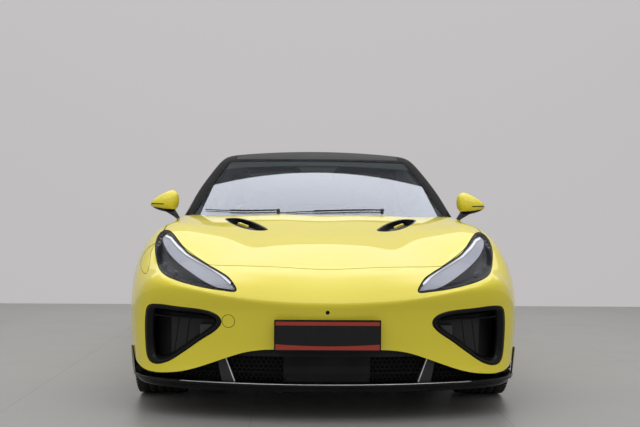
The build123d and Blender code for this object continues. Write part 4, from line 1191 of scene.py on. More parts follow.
screenOutline = (
    [(-0.7, 1.2), (0.7, 1.2), (0.772, 1.662)] + arc((0.582, 2.205), (0.0, 2.128), (-0.582, 2.205))
    + [(-0.772, 1.662)])
glassZone = zone(s=(-9, 2.35), z=(0.85, 9))
panel(
    "windshield_glass", upper, glassZone,
    [prism(screenOutline, 0.9, 1.6)], [block(across, (1.0, 2.3), (0.5, 0.935))],
    "screen", "car_body", "dark_glass", ["windshield"], 0.005)
panel(
    "roof_skin", upper, zone(s=(2.0, 3.4), z=(1.2, 9)),
    [prism(roofOutline(), 1.0, 1.6)], [],
    "roofBlack", *bodyGloss, ["roof_panel"])
panel(
    "rear_window", upper, zone(s=(3.0, 9), z=(0.9, 9), out=(-1, 0.66)),
    [prism(backOutline, 0.95, 1.6)], [],
    "darkGlass", "car_body", "dark_glass", ["rear_windows"], 0.005)
panel(
    "quarter_glass", upper, zone(s=(2.6, 3.8), z=(0.9, 9), out=(0.3, 9)),
    [prism(windowOutline, 0.3, 1.2, "x", True)],
    [cylinder((door["hingeX"], door["hingeS"]), door["reach"] + 0.007, 0.5, 1.6, "z", True),
     block((-door["hingeX"], door["hingeX"]), (0.1, 2.2), (0.5, 1.6))],
    "darkGlass", "car_body", "dark_glass", ["rear_windows"], 0.005)
for side, name in sides:
    pane = shellPatch("pane", cabinSkin, zone(s=(1.6, 3.0), z=(0.88, 9), out=(0.3, 9), side=side), 0.005)
    paneOutline = [(s, z if z > 0.96 else 0.925) for s, z in windowOutline]
    reach = cylinder((door["hingeX"] * side, door["hingeS"]), door["reach"], 0.5, 1.6, "z", False, 160)
    combine(pane, [prism(paneOutline, 0.3 * side, 1.2 * side, "x"), reach], "INTERSECT")
    polish(pane, upperBody)
    onDoor(pane, name, "window", "sideGlass", "dark_glass", "door_glass")
panel(
    "roof_rail_skins", upper, zone(s=(1.3, 4.0), z=(0.88, 9)),
    [block(across, (1.4, 3.165), (0.93, 1.6))],
    [prism(grown(screenOutline, 0.002), 0.8, 1.6), prism(windowOutline, 0.3, 1.2, "x", True),
     prism(roofOutline(0.003), 1.0, 1.6), prism(grown(backOutline, 0.002), 0.9, 1.6)],
    "pillar", *bodyGloss, ["roof_rails"], 0.03)
print("panels cut")

# headlights: clear lens, dark bucket, the bright guide along the top and ribs outside it
lamp = {
    "ribs": 4, "ribFoot": 0.792, "ribPitch": 0.0165, "lineWidth": 0.0075, "bucketDepth": 0.055,
    "projectors": ((0.788, 0.7, 0.015), (0.722, 0.67, 0.013))
}
guideLower = [
    (0.43, 0.601), (0.508, 0.613), (0.58, 0.64), (0.65, 0.676), (0.712, 0.71), (0.768, 0.75), (0.808, 0.792),
    (0.832, 0.828)]
guideUpper = [
    (0.824, 0.842), (0.79, 0.83), (0.744, 0.79), (0.692, 0.753), (0.627, 0.723), (0.555, 0.692),
    (0.497, 0.663), (0.45, 0.63)]
front = zone(s=(-9, 1.1), z=(0.5, 9), out=(0.35, 9))
panel("lamp_lens", lower, front, [lampTool(-0.0015)], [], "lens", *lampGlass, 0.003)
panel(
    "lamp_bucket", lower, front, [lampTool(0.003)], [], "lampInner", *lampGlass, 0.004, -lamp["bucketDepth"])
panel(
    "lamp_walls", lower, front, [lampTool(0.003)], [lampTool(-0.004)], "lampInner", *lampGlass,
    lamp["bucketDepth"], -0.0035)
guide = loopThrough(guideLower + guideUpper, 5)
panel(
    "lamp_guide", lower, front, [prism(guide, 0, 0.9, "s", True), lampTool(-0.006)], [], "guide", *lampGlass,
    0.014, -0.01)
brow = [(x - 0.0035, z + 0.006) for x, z in guideUpper]
line = brow + [(x + 0.004, z - lamp["lineWidth"] - 0.001) for x, z in reversed(brow)]
panel(
    "lamp_line", lower, front, [prism(line, 0, 0.9, "s", True), lampTool(-0.005)], [], "guideBright",
    *lampGlass, 0.012, -0.0065)
for k in range(lamp["ribs"]):
    z = lamp["ribFoot"] + lamp["ribPitch"] * k
    rib = prism(
        [(0.842, z), (0.876, z + 0.004), (0.876, z + 0.009), (0.844, z + 0.005)], 0.0, 1.0, "s", True)
    panel(f"lamp_rib_{k + 1}", lower, front, [rib, lampTool(-0.005)], [], "lampRib", *lampGlass, 0.02, -0.01)
for k, (x, z, r) in enumerate(lamp["projectors"]):
    p = onFront(lowerBody, np.array([[x, z]]))[0]
    lens = lathe(
        "eye",
        [
            (0.0, 0.0004), (0.0016, r * 0.45), (0.0052, r * 0.78), (0.0095, r * 0.95), (0.022, r),
            (0.03, r * 1.1)], 36)
    turned = readVerts(lens.data)
    q = np.column_stack([p[0] + turned[:, 2], p[1] + 0.026 + turned[:, 0], p[2] + turned[:, 1]])
    writeVerts(lens.data, q)
    addPiece(both(lens), f"lamp_projector_{k + 1}", "gloss", "car_body", "lamp_glass", "headlights")

# side intakes: a rounded gloss frame, the duct behind it, a slat and a grooved wall
frameProfile = [
    (-0.02, 0.012), (0.02, 0.002), (0.16, -0.0015), (0.36, -0.0035), (0.56, -0.001), (0.76, 0.008),
    (0.92, 0.019), (1.0, 0.034), (1.02, 0.06), (1.0, 0.11), (0.98, 0.16)]
addPiece(
    both(rimLoft("intake", lowerBody, intakeOutline, throatOutline, frameProfile)), "intake_frames", "gloss",
    *bodyTrim, "front_grilles")


def throat(grow):
    return prism(grown(throatOutline, grow), -0.1, 0.9, "s", True)


low = zone(s=(-9, 0.85), z=(-9, 0.62))
intake = {
    "grooves": 3, "grooveFrom": (0.64, 0.47), "groovePitch": 0.052, "wallDepth": 0.06, "backDepth": 0.1
}
grooves = []
for k in range(intake["grooves"]):
    x, z = intake["grooveFrom"][0] + intake["groovePitch"] * k, intake["grooveFrom"][1]
    grooves.append(prism([(x, z), (x + 0.003, z), (x + 0.03, 0.3), (x + 0.026, 0.3)], -0.1, 0.9, "s", True))
panel(
    "intake_wall", lower, low, [throat(0.012)],
    [*grooves, block((0.735, 1.2), (-0.1, 1.0), (0.0, 1.0), True)], "satin", *grilleTrim, 0.006,
    -intake["wallDepth"])
panel("intake_back", lower, low, [throat(0.02)], [], "liner", *grilleTrim, 0.006, -intake["backDepth"])
panel(
    "intake_slat", lower, low,
    [
        throat(0.004),
        prism([(0.54, 0.462), (0.83, 0.472), (0.83, 0.478), (0.54, 0.468)], -0.1, 0.9, "s", True)], [],
    "gloss", *grilleTrim, 0.045, -0.016)
print("lamps and intakes made")

# behind the skin at the front, so that no gap looks through
panel(
    "bumper_backing", lower, zone(s=(-9, 0.75), z=(0.22, 9)),
    [block((-0.96, 0.96), (-0.1, 0.58), (0.3, 0.9))],
    [lampTool(0.008), prism(intakeOutline, -0.1, 0.8, "s", True), archTool("frontAxle", 0.5)], "liner",
    "car_body", "underbody", ["front_bumper"], 0.003, -0.02)

# lower grille: a dark back, honeycomb at the sides, a plain centre, two fins with a bright edge
grille = {
    "cell": 0.0225, "wire": 0.0022, "depth": 0.012, "meshFrom": 0.2, "meshTo": 0.8, "rows": 9, "foot": 0.192,
    "backDepth": 0.085, "centreDepth": 0.04
}
mouth = [(x, z + 0.01) for x, z in lipSmooth if x < 0.93] + [(0.93, 0.165), (0.0, 0.165)]
panel(
    "grille_back", lower, low, [prism(mouth, -0.1, 0.6, "s", True)], [archTool("frontAxle", 0.6)], "liner",
    *grilleTrim, 0.004, -grille["backDepth"])
panel(
    "grille_centre", lower, low,
    [prism([(-0.2, 0.17), (0.2, 0.17), (0.2, 0.335), (-0.2, 0.335)], -0.1, 0.6, "s")], [], "gloss",
    *grilleTrim, 0.006, -grille["centreDepth"])
cellMesh = []
ring = oval(1.0, 1.0, 6, math.pi / 6)
big = grille["cell"] / 1.732
small = big - grille["wire"]
for y in (0.0, grille["depth"]):
    for r in (big, small):
        cellMesh += [(a * r, y, b * r) for a, b in ring]
faces = []
for i in range(6):
    j = (i + 1) % 6
    faces += [(i, j, 6 + j, 6 + i), (12 + i, 18 + i, 18 + j, 12 + j), (6 + i, 6 + j, 18 + j, 18 + i)]
comb = bpy.data.meshes.new("cell")
comb.from_pydata(cellMesh, [], faces)
cell = addObject("cell", comb)
spots = []
pitch = grille["cell"]
for row in range(grille["rows"]):
    for col in range(-40, 41):
        x, z = (col + 0.5 * (row % 2)) * pitch, grille["foot"] + row * pitch * 0.866
        if grille["meshFrom"] < abs(x) < grille["meshTo"] and z < float(lipCurve(abs(x))) - 0.004:
            spots.append((x, z))
spots = onFront(lambda p: lowerBody(p) + 0.05, np.array(spots))
honeycomb = repeat("grille_mesh", cell, spots, [(0, 0, 0)] * len(spots), "gloss")
addPiece(honeycomb, "grille_mesh", None, *bodyTrim, "front_grilles")
fin = [(0.508, 0.29), (0.47, 0.298), (0.425, 0.18), (0.484, 0.18)]
panel("grille_fins", lower, low, [prism(fin, -0.1, 0.6, "s", True)], [], "satin", *grilleTrim, 0.05, -0.012)
edge = [(0.4705, 0.292), (0.4655, 0.292), (0.4215, 0.184), (0.4275, 0.184)]
panel(
    "grille_fin_edges", lower, low, [prism(edge, -0.1, 0.6, "s", True)], [], "alloy", "car_body", "steel",
    ["front_grilles"], 0.05, -0.009)

# splitter: the tray, a blade round its edge and the end plates
panel("splitter_tray", lower, zone(s=(-9, 1.4), z=(-9, 0.24)), [block(across, (-0.1, 1.282), (0.1, 0.17))],
      [archTool("frontAxle")], "gloss", *bodyGloss, ["front_splitter"], 0.016)
splitter = {"halfWidth": 0.925, "height": 0.16, "points": 121, "edgeFrom": 16}
xs = np.linspace(-splitter["halfWidth"], splitter["halfWidth"], splitter["points"])
edgePoints = onFront(lowerBody, np.column_stack([xs, np.full_like(xs, splitter["height"])]))
path = []
for k, p in enumerate(edgePoints):
    t = edgePoints[min(k + 1, len(xs) - 1)] - edgePoints[max(k - 1, 0)]
    n = np.array([t[1], -t[0], 0.0])
    path.append((p, n / np.linalg.norm(n), np.array([0.0, 0.0, 1.0])))
blade = [
    (-0.05, 0.018), (0.006, 0.02), (0.013, 0.0165), (0.015, 0.011), (0.012, 0.005), (0.0, 0.0), (-0.05, 0.0)]
addPiece(sweep("blade", path, blade), "splitter_blade", "gloss", *bodyGloss, "front_splitter")
bladeEdge = [(0.004, 0.0195), (0.0125, 0.0168), (0.0138, 0.0174), (0.0134, 0.0186), (0.005, 0.0206)]
addPiece(
    sweep("edge", path[splitter["edgeFrom"]:-splitter["edgeFrom"]], bladeEdge), "splitter_edge", "alloy",
    "car_body", "steel", "front_splitter")
panel(
    "splitter_end_plates", lower, low,
    [
        prism(
            [(0.925, 0.15), (0.975, 0.15), (0.985, 0.29), (0.955, 0.3), (0.937, 0.235)], -0.1, 0.505, "s",
            True)], [], "gloss", *bodyGloss, ["front_splitter"], 0.008, 0.007)

# number plates: two red bands on black, otherwise blank, in a thin frame
plate = {
    "halfWidth": 0.2385, "halfHeight": 0.068, "corner": 0.002, "frame": 0.0045, "lap": 0.001,
    "front": (0.0, 0.404, 1), "rear": (4.7135, 0.56, -1),
}
w, h, edge, lap = (plate[k] for k in ("halfWidth", "halfHeight", "frame", "lap"))
for name in ("front", "rear"):
    s, z, way = plate[name]
    name += "_plate"
    depth = sorted((s + way * 0.001, s + way * 0.01))
    addPiece(
        boxAt(name, (-w, w), depth, (z - h, z + h), plate["corner"]), name, plateFinish(name, z), "car_body",
        "plate", "number_plates")
    rim = boxAt(
        "rim", (-w - edge, w + edge), sorted((s + way * 0.0004, s + way * 0.012)),
        (z - h - edge, z + h + edge), 0.003)
    combine(
        rim,
        [block((lap - w, w - lap), sorted((s - way * 0.01, s + way * 0.0085)), (z - h + lap, z + h - lap))])
    addPiece(rim, name + "_frame", "gloss", *bodyTrim, "number_plates")
panel(
    "camera_eye", lower, low, [cylinder(cameraEye["centre"], cameraEye["radius"] - 0.001, -0.1, 0.4, "s")],
    [], "gloss", *bodyGloss, ["front_bumper"], 0.006, -0.002)


# hood: vents with a painted fin, the lining and the hinge arms
def vent(grow):
    return prism(grown(ventOutline, grow), 0.7, 1.1, "z", True)


high = zone(s=(0.2, 1.7), z=(0.6, 9), out=(-1, 0.9))
panel("hood_vent_frames", lower, high, [vent(-0.0015)], [vent(-0.011)], "gloss", *hoodTrim, 0.035, -0.001)
panel("hood_vent_floors", lower, high, [vent(0.006)], [], "satin", *hoodTrim, 0.004, -0.034)
ventFin = [(0.412, 1.14), (0.426, 1.137), (0.478, 1.222), (0.464, 1.228)]
panel(
    "hood_vent_fins", lower, high, [prism(ventFin, 0.7, 1.1, "z", True)], [], "paint", "hood",
    "yellow_paint", ["hood_panel"], 0.01, -0.01)
panel(
    "hood_vent_ramps", lower, high,
    [prism([(0.36, 0.99), (0.43, 0.985), (0.47, 1.07), (0.39, 1.09)], 0.7, 1.1, "z", True)], [], "satin",
    "hood", "steel", ["hood_panel"], 0.004, -0.016)
lining = {"openings": (-0.62, -0.42, -0.22, 0.0, 0.22, 0.42, 0.62), "halfWidth": 0.035}
ribCuts = []
for x in lining["openings"]:
    ribCuts.append(
        block((x - lining["halfWidth"], x + lining["halfWidth"]), (0.45 + abs(x) * 0.3, 1.3), (0.5, 1.2)))
panel(
    "hood_lining", lower, high, [prism(hoodOutline(-0.03, -0.03), 0.5, 1.2)],
    [lampTool(0.03), vent(0.008), glassTool(0.02), *ribCuts], "satin", *hoodTrim, 0.01, -0.0125)
# the arm in mm from its hinge
hoodArm = [
    (-10, 7), (10, 7), (14, -40), (-20, -88), (-150, -88), (-150, 15), (-120, 15), (-108, -66), (-44, -66),
    (-14, -30)]
armLoop = [(hood["hinge"][0] + a / 1000, hood["hinge"][1] + b / 1000) for a, b in hoodArm]
addPiece(
    prism(armLoop, *hood["armX"], "x", True), "hood_hinge_arms", "darkSteel", "hood", "steel", "hood_panel")
panel(
    "cowl", lower, zone(s=(1.2, 1.9), z=(0.8, 9), out=(-1, 0.9)),
    [block((-0.84, 0.84), (1.32, 1.76), (0.85, 1.2))],
    [
        prism(hoodOutline(0.004, 0.012), 0.5, 1.2), *doorTools(0.006), glassTool(-0.002),
        block((0.693, 0.719), (1.4, 1.8), (0.5, 1.2), True)], "plastic", *bodyTrim, ["cowl_panel"], 0.01,
    -0.004)


def onTop(f, xs, inside=0.7):
    # points seen from above, laid on a skin
    start = np.column_stack([xs[:, 0], xs[:, 1], np.full(len(xs), inside)])
    end = start.copy()
    end[:, 2] = 1.6
    return landOn(f, start, end)


# each wiper from its pivot to its tip, seen from above
wiper = {
    "sweeps": (((0.38, 1.535), (-0.26, 1.465)), ((-0.25, 1.495), (-0.7, 1.665))), "bow": 0.03,
    "blade": 0.003, "arm": 0.0045, "pivot": 0.011,
}
bladeParts = []
for (hx, hs), (tx, ts) in wiper["sweeps"]:
    t = np.linspace(0, 1, 24)
    bow = wiper["bow"] * np.sin(math.pi * t)
    line = onTop(upperBody, np.column_stack([hx + (tx - hx) * t, hs + (ts - hs) * t - bow]))
    up = slopeOf(upperBody, line)
    bladeParts.append(tube("blade", (line + up * 0.006)[4:], wiper["blade"], 8))
    bladeParts.append(tube("arm", (line + up * np.linspace(0.008, 0.01, 24)[:, None])[:16], wiper["arm"], 8))
    bladeParts.append(tube("pivot", [line[0] + up[0] * 0.002, line[0] + up[0] * 0.013], wiper["pivot"], 16))
addPiece(joined(bladeParts), "wiper_arms", "satin", *bodyTrim, "wipers")
print("front made")

# windshield border and header, with the sensor pod behind the glass
clearView = (
    arc((0.666, 1.654), (0.0, 1.455), (-0.666, 1.654))
    + [(-0.7, 1.7), (-0.749, 1.769), (-0.736, 1.856), (-0.686, 2.0)]
    + arc((-0.605, 2.12), (0.0, 2.062), (0.605, 2.12))
    + [(0.686, 2.0), (0.736, 1.856), (0.749, 1.769), (0.7, 1.7)])
panel(
    "windshield_border", upper, glassZone, [prism(grown(screenOutline, -0.002), 0.93, 1.6)],
    [prism(clearView, 0.5, 1.6)], "frit", *bodyTrim, ["windshield"], 0.002, -0.006)
panel(
    "sensor_pod", upper, glassZone,
    [prism(rounded([(-0.16, 2.13), (0.16, 2.13), (0.1, 1.985), (-0.1, 1.985)], 0.02), 0.9, 1.6)], [],
    "satin", *bodyTrim, ["windshield"], 0.045, -0.012)
panel(
    "header_lining", upper, zone(s=(2.0, 9), z=(1.1, 9)),
    [prism(arc((-0.53, 2.22), (0, 2.13), (0.53, 2.22)) + [(0.5, 3.2), (-0.5, 3.2)], 1.0, 1.6)], [],
    "roofCloth", *bodyCloth, ["roof_panel"], 0.012, -0.034)
panel(
    "cabin_lining", whole, zone(s=(2.45, 4.25), z=(0.5, 9)), [block((-1.0, 1.0), (2.5, 4.0), (0.56, 1.5))],
    [
        prism(grown(backOutline, 0.014), 0.8, 1.6), prism(grown(windowOutline, 0.018), 0.3, 1.2, "x", True),
        *doorTools(0.008), archTool("rearAxle", 0.6), block((-0.5, 0.5), (2.0, 3.3), (0.9, 1.6))],
    "roofCloth", *bodyCloth, ["roof_rails"], 0.003, -0.0135)
# black seals round the quarter and rear windows, and a sill where the side glass meets the shoulder
panel(
    "quarter_seals", whole, zone(s=(2.6, 3.9), z=(0.88, 9), out=(0.4, 9)),
    [prism(grown(windowOutline, 0.0154), 0.4, 1.2, "x", True), block(across, (2.7, 4.0), (0.994, 1.6))],
    [
        prism(grown(windowOutline, 0.0005), 0.3, 1.3, "x", True), block(across, (2.0, 3.167), (1.04, 1.6)),
        *doorTools(0.004)], "pillar", *windowTrim, 0.014, -0.0015)
panel(
    "rear_window_seal", whole, zone(s=(3.0, 4.3), z=(0.9, 9), out=(-1, 0.66)),
    [prism(grown(backOutline, 0.0115), 0.9, 1.6)],
    [prism(grown(backOutline, 0.0005), 0.8, 1.7), block(across, (2.0, 3.169), (0.9, 1.6))], "pillar",
    *windowTrim, 0.014, -0.0015)
panel(
    "quarter_sills", whole, zone(s=(2.6, 3.8), z=(0.88, 1.1), out=(0.5, 9)),
    [prism(grown(windowOutline, 0.0145), 0.5, 1.2, "x", True)],
    [block(across, (2.4, 4.0), (0.992, 1.6)), *doorTools(0.004)], "pillar", *windowTrim, 0.006, -0.001)


# mirrors
mirror = {
    "centre": (0.9785, 1.871, 1.0405), "halfSize": (0.0905, 0.084, 0.075), "droop": 0.014, "taper": 0.66,
    "rear": 1.8835, "glassOut": 0.0102, "wall": 0.004
}


def mirrorShape(p):
    # below zero inside a pod that tapers outwards, cut flat behind
    x, s, z = np.abs(p[:, 0]), p[:, 1], p[:, 2]
    (cx, cs, cz), (rx, rs, rz) = mirror["centre"], mirror["halfSize"]
    u = (x - cx) / rx
    outer = np.clip(u + 0.55, 0, 2) / 1.55
    height = rz * (1 - mirror["taper"] * np.clip(outer, 0, 1.3) ** 1.25)
    w = (z - (cz - mirror["droop"] * np.clip(u, -1, 1))) / height
    v = (s - cs) / rs
    f = 0.06 * ((np.abs(u) ** 3.0 + np.abs(w) ** 2.4 + np.abs(v) ** 2.2) ** 0.4 - 1)
    return blendMax(f, s - mirror["rear"], 0.008)


mirrorSkin = wrap(
    mirrorShape, (0.87, 1.77, 0.95), (1.09, 1.9, 1.13), (0.93, 1.84, 1.025), (1.0, 1.875, 1.05), 0.005)
coverLine = [
    (0.85, 1.2), (0.85, 0.992), (0.92, 0.994), (0.98, 0.999), (1.03, 1.007), (1.1, 1.018), (1.1, 1.2)]
slit = [(0.975, 1.0225), (1.1, 1.0265), (1.1, 1.0335), (0.975, 1.029)]
baseLine = [
    (0.85, 0.92), (0.85, 0.99), (0.92, 0.992), (0.98, 0.997), (1.03, 1.005), (1.1, 1.016), (1.1, 0.92)]
# rows: centre, then the long and short axis of its oval
stalk = [
    ((0.975, 1.85, 1.0), (1.9, 0, 0.2), (0, 1.0, 0)),
    ((0.955, 1.848, 0.978), (2.0, 0, 0.7), (0, 1.0, 0)),
    ((0.926, 1.843, 0.956), (1.8, 0, 1.0), (0, 1.0, 0)),
    ((0.898, 1.838, 0.936), (1.6, 0, 1.2), (0, 1.0, 0)),
    ((0.868, 1.832, 0.918), (1.5, 0, 1.3), (0, 1.0, 0)),
]
for side, name in sides:
    cover = shellPatch("cover", mirrorSkin, zone(), mirror["wall"])
    combine(cover, [prism(coverLine, 1.7, 1.881, "s")], "INTERSECT")
    combine(cover, [prism(slit, 1.7, 1.9, "s")])
    polish(cover, mirrorShape)
    onDoor(onSide(cover, side), name, "mirror_cover", "paint", "yellow_paint", "mirror")
    core = closedSkin("core", mirrorSkin, -0.0045)
    onDoor(onSide(core, side), name, "mirror_body", "satin", "black_trim", "mirror")
    base = shellPatch("base", mirrorSkin, zone(), mirror["wall"])
    combine(base, [prism(baseLine, 1.7, 1.895, "s")], "INTERSECT")
    polish(base, mirrorShape)
    onDoor(onSide(base, side), name, "mirror_base", "gloss", "gloss_black", "mirror")
    stem = onSide(sweep("stalk", stalk, oval(0.034, 0.026, 20)), side)
    onDoor(stem, name, "mirror_stalk", "gloss", "gloss_black", "mirror")
    glass = closedSkin("glass", mirrorSkin, -0.009)
    combine(glass, [block((0.8, 1.2), (1.868, 1.9), (0.9, 1.2))], "INTERSECT")
    moved = readVerts(glass.data)
    moved[:, 1] += mirror["glassOut"]
    writeVerts(glass.data, moved)
    onDoor(onSide(glass, side), name, "mirror_glass", "chrome", "steel", "mirror")
print("mirrors made")

# tail: a full-width lamp, the plate recess, fins below, the lid's arms
back = zone(s=(4.2, 9))
tailLens = (across, (4.423, 4.9), (tailBand["low"] + tailBand["gap"], tailBand["high"] - tailBand["gap"]))
panel("tail_lamp_lens", lower, back, [block(*tailLens)], [], "redLens", *tailRed, 0.003)
panel("tail_lamp_core", lower, back, [block(*tailLens)], [], "lampInner", *tailRed, 0.004, -0.04)
panel(
    "tail_lamp_line", lower, back, [block(across, (4.43, 4.9), (0.812, 0.826))], [], "redGuide", *tailRed,
    0.012, -0.01)
panel(
    "tail_backing", lower, back, [block((-0.9, 0.9), (4.3, 4.9), (0.32, 0.9))], [], "liner", "car_body",
    "underbody", ["rear_bumper"], 0.003, -0.046)
recess = rounded([(-0.294, 0.471), (0.294, 0.471), (0.279, 0.644), (-0.279, 0.644)], 0.02)
panel(
    "plate_recess", lower, back, [prism(recess, 4.4, 4.9, "s")], [], "satin", *bodyTrim, ["rear_bumper"],
    0.004, -0.022)
finShape = [(4.36, 0.3), (4.36, 0.152), (4.53, 0.145), (4.575, 0.16), (4.618, 0.25), (4.62, 0.3)]
diffuser = {"fins": (-0.48, -0.24, 0.0, 0.24, 0.48), "halfThickness": 0.006}
fins = [
    prism(finShape, x - diffuser["halfThickness"], x + diffuser["halfThickness"], "x")
    for x in diffuser["fins"]]
addPiece(joined(fins), "diffuser_fins", "gloss", *bodyTrim, "rear_diffuser")
panel(
    "diffuser_roof", lower, back, [block((-0.66, 0.66), (4.34, 4.9), (0.155, 0.322))], [], "satin",
    *bodyTrim, ["rear_diffuser"], 0.02, -0.075)
lidArm = [
    (-18, 9), (-6, 14), (6, 14), (12, 9), (12, -8), (-1, -20), (-1, -140), (178, -140), (178, 30), (206, 22),
    (206, -168), (-27, -168), (-27, -10)]
armLoop = [(trunkLid["hinge"][0] + a / 1000, trunkLid["hinge"][1] + b / 1000) for a, b in lidArm]
addPiece(
    prism(armLoop, *trunkLid["armX"], "x", True), "lid_hinge_arms", "darkSteel", "trunk_lid", "steel",
    "trunk_lid")
print("tail made")

# wheels
wheel = {
    "treadGrooves": (-0.062, -0.021, 0.021, 0.062), "grooveWidth": 0.0085, "grooveDepth": 0.007, "sipes": 84,
    "sipeRadius": 0.3355, "shoulder": 0.1055, "spokes": 5, "spokeLean": 0.24, "bolts": 5,
    "boltCircle": 0.0435, "caliperRadius": 0.158, "caliperReach": 0.42
}
barSection = [
    (-1, -0.9), (-1, 0.35), (-0.72, 0.5), (0.72, 0.5), (1, 0.35), (1, -0.9), (0.6, -1.0), (-0.6, -1.0)]
caliperSection = [
    (-0.05, -0.042), (-0.033, -0.046), (-0.032, 0.024), (0.004, 0.024), (0.005, -0.046), (0.021, -0.042),
    (0.023, 0.03), (0.012, 0.041), (-0.04, 0.041), (-0.051, 0.03)]
boltProfile = [(0.083, 0.001), (0.0905, 0.001), (0.0905, 0.0065), (0.089, 0.008), (0.078, 0.0082)]
tyreProfile = [
    (-0.1045, 0.243), (-0.112, 0.252), (-0.1205, 0.275), (-0.1225, 0.292), (-0.1205, 0.312), (-0.116, 0.327),
    (-0.108, 0.335), (-0.096, 0.3385)]
for g in wheel["treadGrooves"]:
    w, d = wheel["grooveWidth"] / 2, wheel["grooveDepth"]
    tyreProfile += [(g - w, 0.34), (g - w + 0.001, 0.34 - d), (g + w - 0.001, 0.34 - d), (g + w, 0.34)]
tyreProfile += [(-x, r) for x, r in reversed(tyreProfile[:8])]
rimProfile = [
    (-0.1065, 0.2435), (-0.108, 0.236), (-0.1, 0.228), (-0.06, 0.222), (0.0, 0.205), (0.05, 0.207),
    (0.085, 0.224), (0.1, 0.2305), (0.1055, 0.232), (0.1085, 0.2375), (0.1065, 0.2435)]
discProfile = [
    (-0.026, 0.095), (-0.026, 0.176), (-0.0245, 0.178), (-0.0165, 0.178), (-0.0165, 0.168), (-0.0115, 0.168),
    (-0.0115, 0.178), (-0.0035, 0.178), (-0.002, 0.176), (-0.002, 0.095), (0.018, 0.088), (0.022, 0.072),
    (0.022, 0.03)]
hubProfile = [
    (0.02, 0.072), (0.06, 0.07), (0.0795, 0.064), (0.084, 0.052), (0.084, 0.036), (0.0815, 0.034),
    (0.0815, 0.0325), (0.0885, 0.031), (0.0905, 0.024), (0.0915, 0.001)]


def atWheel(obj, side, axle):
    # a part modelled about the origin goes to its wheel
    q = readVerts(obj.data)
    q = np.column_stack([side * (car["wheelX"] + q[:, 0]), car[axle] + q[:, 1], car["hubHeight"] + q[:, 2]])
    writeVerts(obj.data, q)
    return faceOut(obj)


def onWheel(obj, side, axle, tag, part, material, slot, node="rim"):
    return addPiece(
        atWheel(obj, side, axle), f"{tag}_{part}", material, f"{tag}_wheel", slot, f"{tag}_{node}")


def radialAt(a):
    return np.array([0, math.cos(a), math.sin(a)])


def spoke(angle, lean, inner, outer, width, depth, proud):
    # one bar of the star, from the hub out to the rim
    path = []
    for t in np.linspace(0, 1, 9):
        r = inner + (outer - inner) * t
        a = angle + lean * (0.25 + 0.75 * t)
        radial, along = radialAt(a), np.array([0, -math.sin(a), math.cos(a)])
        x = 0.078 + 0.018 * math.sin(t * 1.6) + proud
        taper = 1.15 - 0.35 * t
        wide, deep = along * (width * (taper + 0.25 * t ** 6)), np.array([1.0, 0, 0]) * depth * taper
        path.append((radial * r + np.array([x, 0, 0]), wide, deep))
    return sweep("spoke", path, barSection)


for end, axle in (("front", "frontAxle"), ("rear", "rearAxle")):
    for side, hand in sides:
        tag = f"{end}_{hand}"
        here = (side, axle, tag)
        onWheel(lathe("tyre", tyreProfile, 128), *here, "tyre_body", "rubber", "tyre", "tyre")
        sipe = smallBox("sipe", (0.03, 0.0165, 0.004))
        spots, turns = [], []
        for k in range(wheel["sipes"]):
            a = 2 * math.pi * k / wheel["sipes"]
            for x, shift in ((-wheel["shoulder"], 0.0), (wheel["shoulder"], 0.5)):
                b = a + shift * 2 * math.pi / wheel["sipes"]
                s, z = wheel["sipeRadius"] * math.cos(b), wheel["sipeRadius"] * math.sin(b)
                spots.append((side * (car["wheelX"] + x), car[axle] + s, car["hubHeight"] + z))
                turns.append((b - math.pi / 2, 0.0, 0.0))
        blocks = repeat(f"{tag}_shoulder_blocks", sipe, spots, turns, "rubber")
        addPiece(blocks, f"{tag}_shoulder_blocks", None, f"{tag}_wheel", "tyre", f"{tag}_tyre")
        onWheel(lathe("rim", rimProfile, 96), *here, "rim_barrel", "darkAlloy", "alloy")
        onWheel(lathe("hub", hubProfile, 48), *here, "hub", "darkAlloy", "alloy")
        dark, bright = [], []
        for k in range(wheel["spokes"]):
            a = math.pi / 2 + 2 * math.pi * k / wheel["spokes"]
            for lean in (-wheel["spokeLean"], wheel["spokeLean"]):
                dark.append(spoke(a, lean, 0.05, 0.228, 0.0125, 0.02, -0.004))
                bright.append(spoke(a, lean, 0.068, 0.226, 0.0085, 0.004, 0.0072))
        onWheel(joined(dark), *here, "spokes", "darkAlloy", "alloy")
        onWheel(joined(bright), *here, "spoke_faces", "alloy", "alloy")
        onWheel(lathe("disc", discProfile, 96), *here, "disc", "steel", "steel")
        bolts = []
        for k in range(wheel["bolts"]):
            a = 2 * math.pi * k / wheel["bolts"]
            bolt = lathe("bolt", boltProfile, 12)
            writeVerts(bolt.data, readVerts(bolt.data) + radialAt(a) * wheel["boltCircle"])
            bolts.append(bolt)
        onWheel(joined(bolts), *here, "bolts", "steel", "steel")
        clamp = []
        for a in np.linspace(-wheel["caliperReach"], wheel["caliperReach"], 15):
            radial = radialAt(a)
            clamp.append((radial * wheel["caliperRadius"], np.array([1.0, 0, 0]), radial))
        jaw = sweep("caliper", clamp, caliperSection)
        carrier = f"{hand}_knuckle" if end == "front" else "car_body"
        addPiece(atWheel(jaw, side, axle), f"{tag}_caliper", "caliper", carrier, "cast")
print("wheels made")


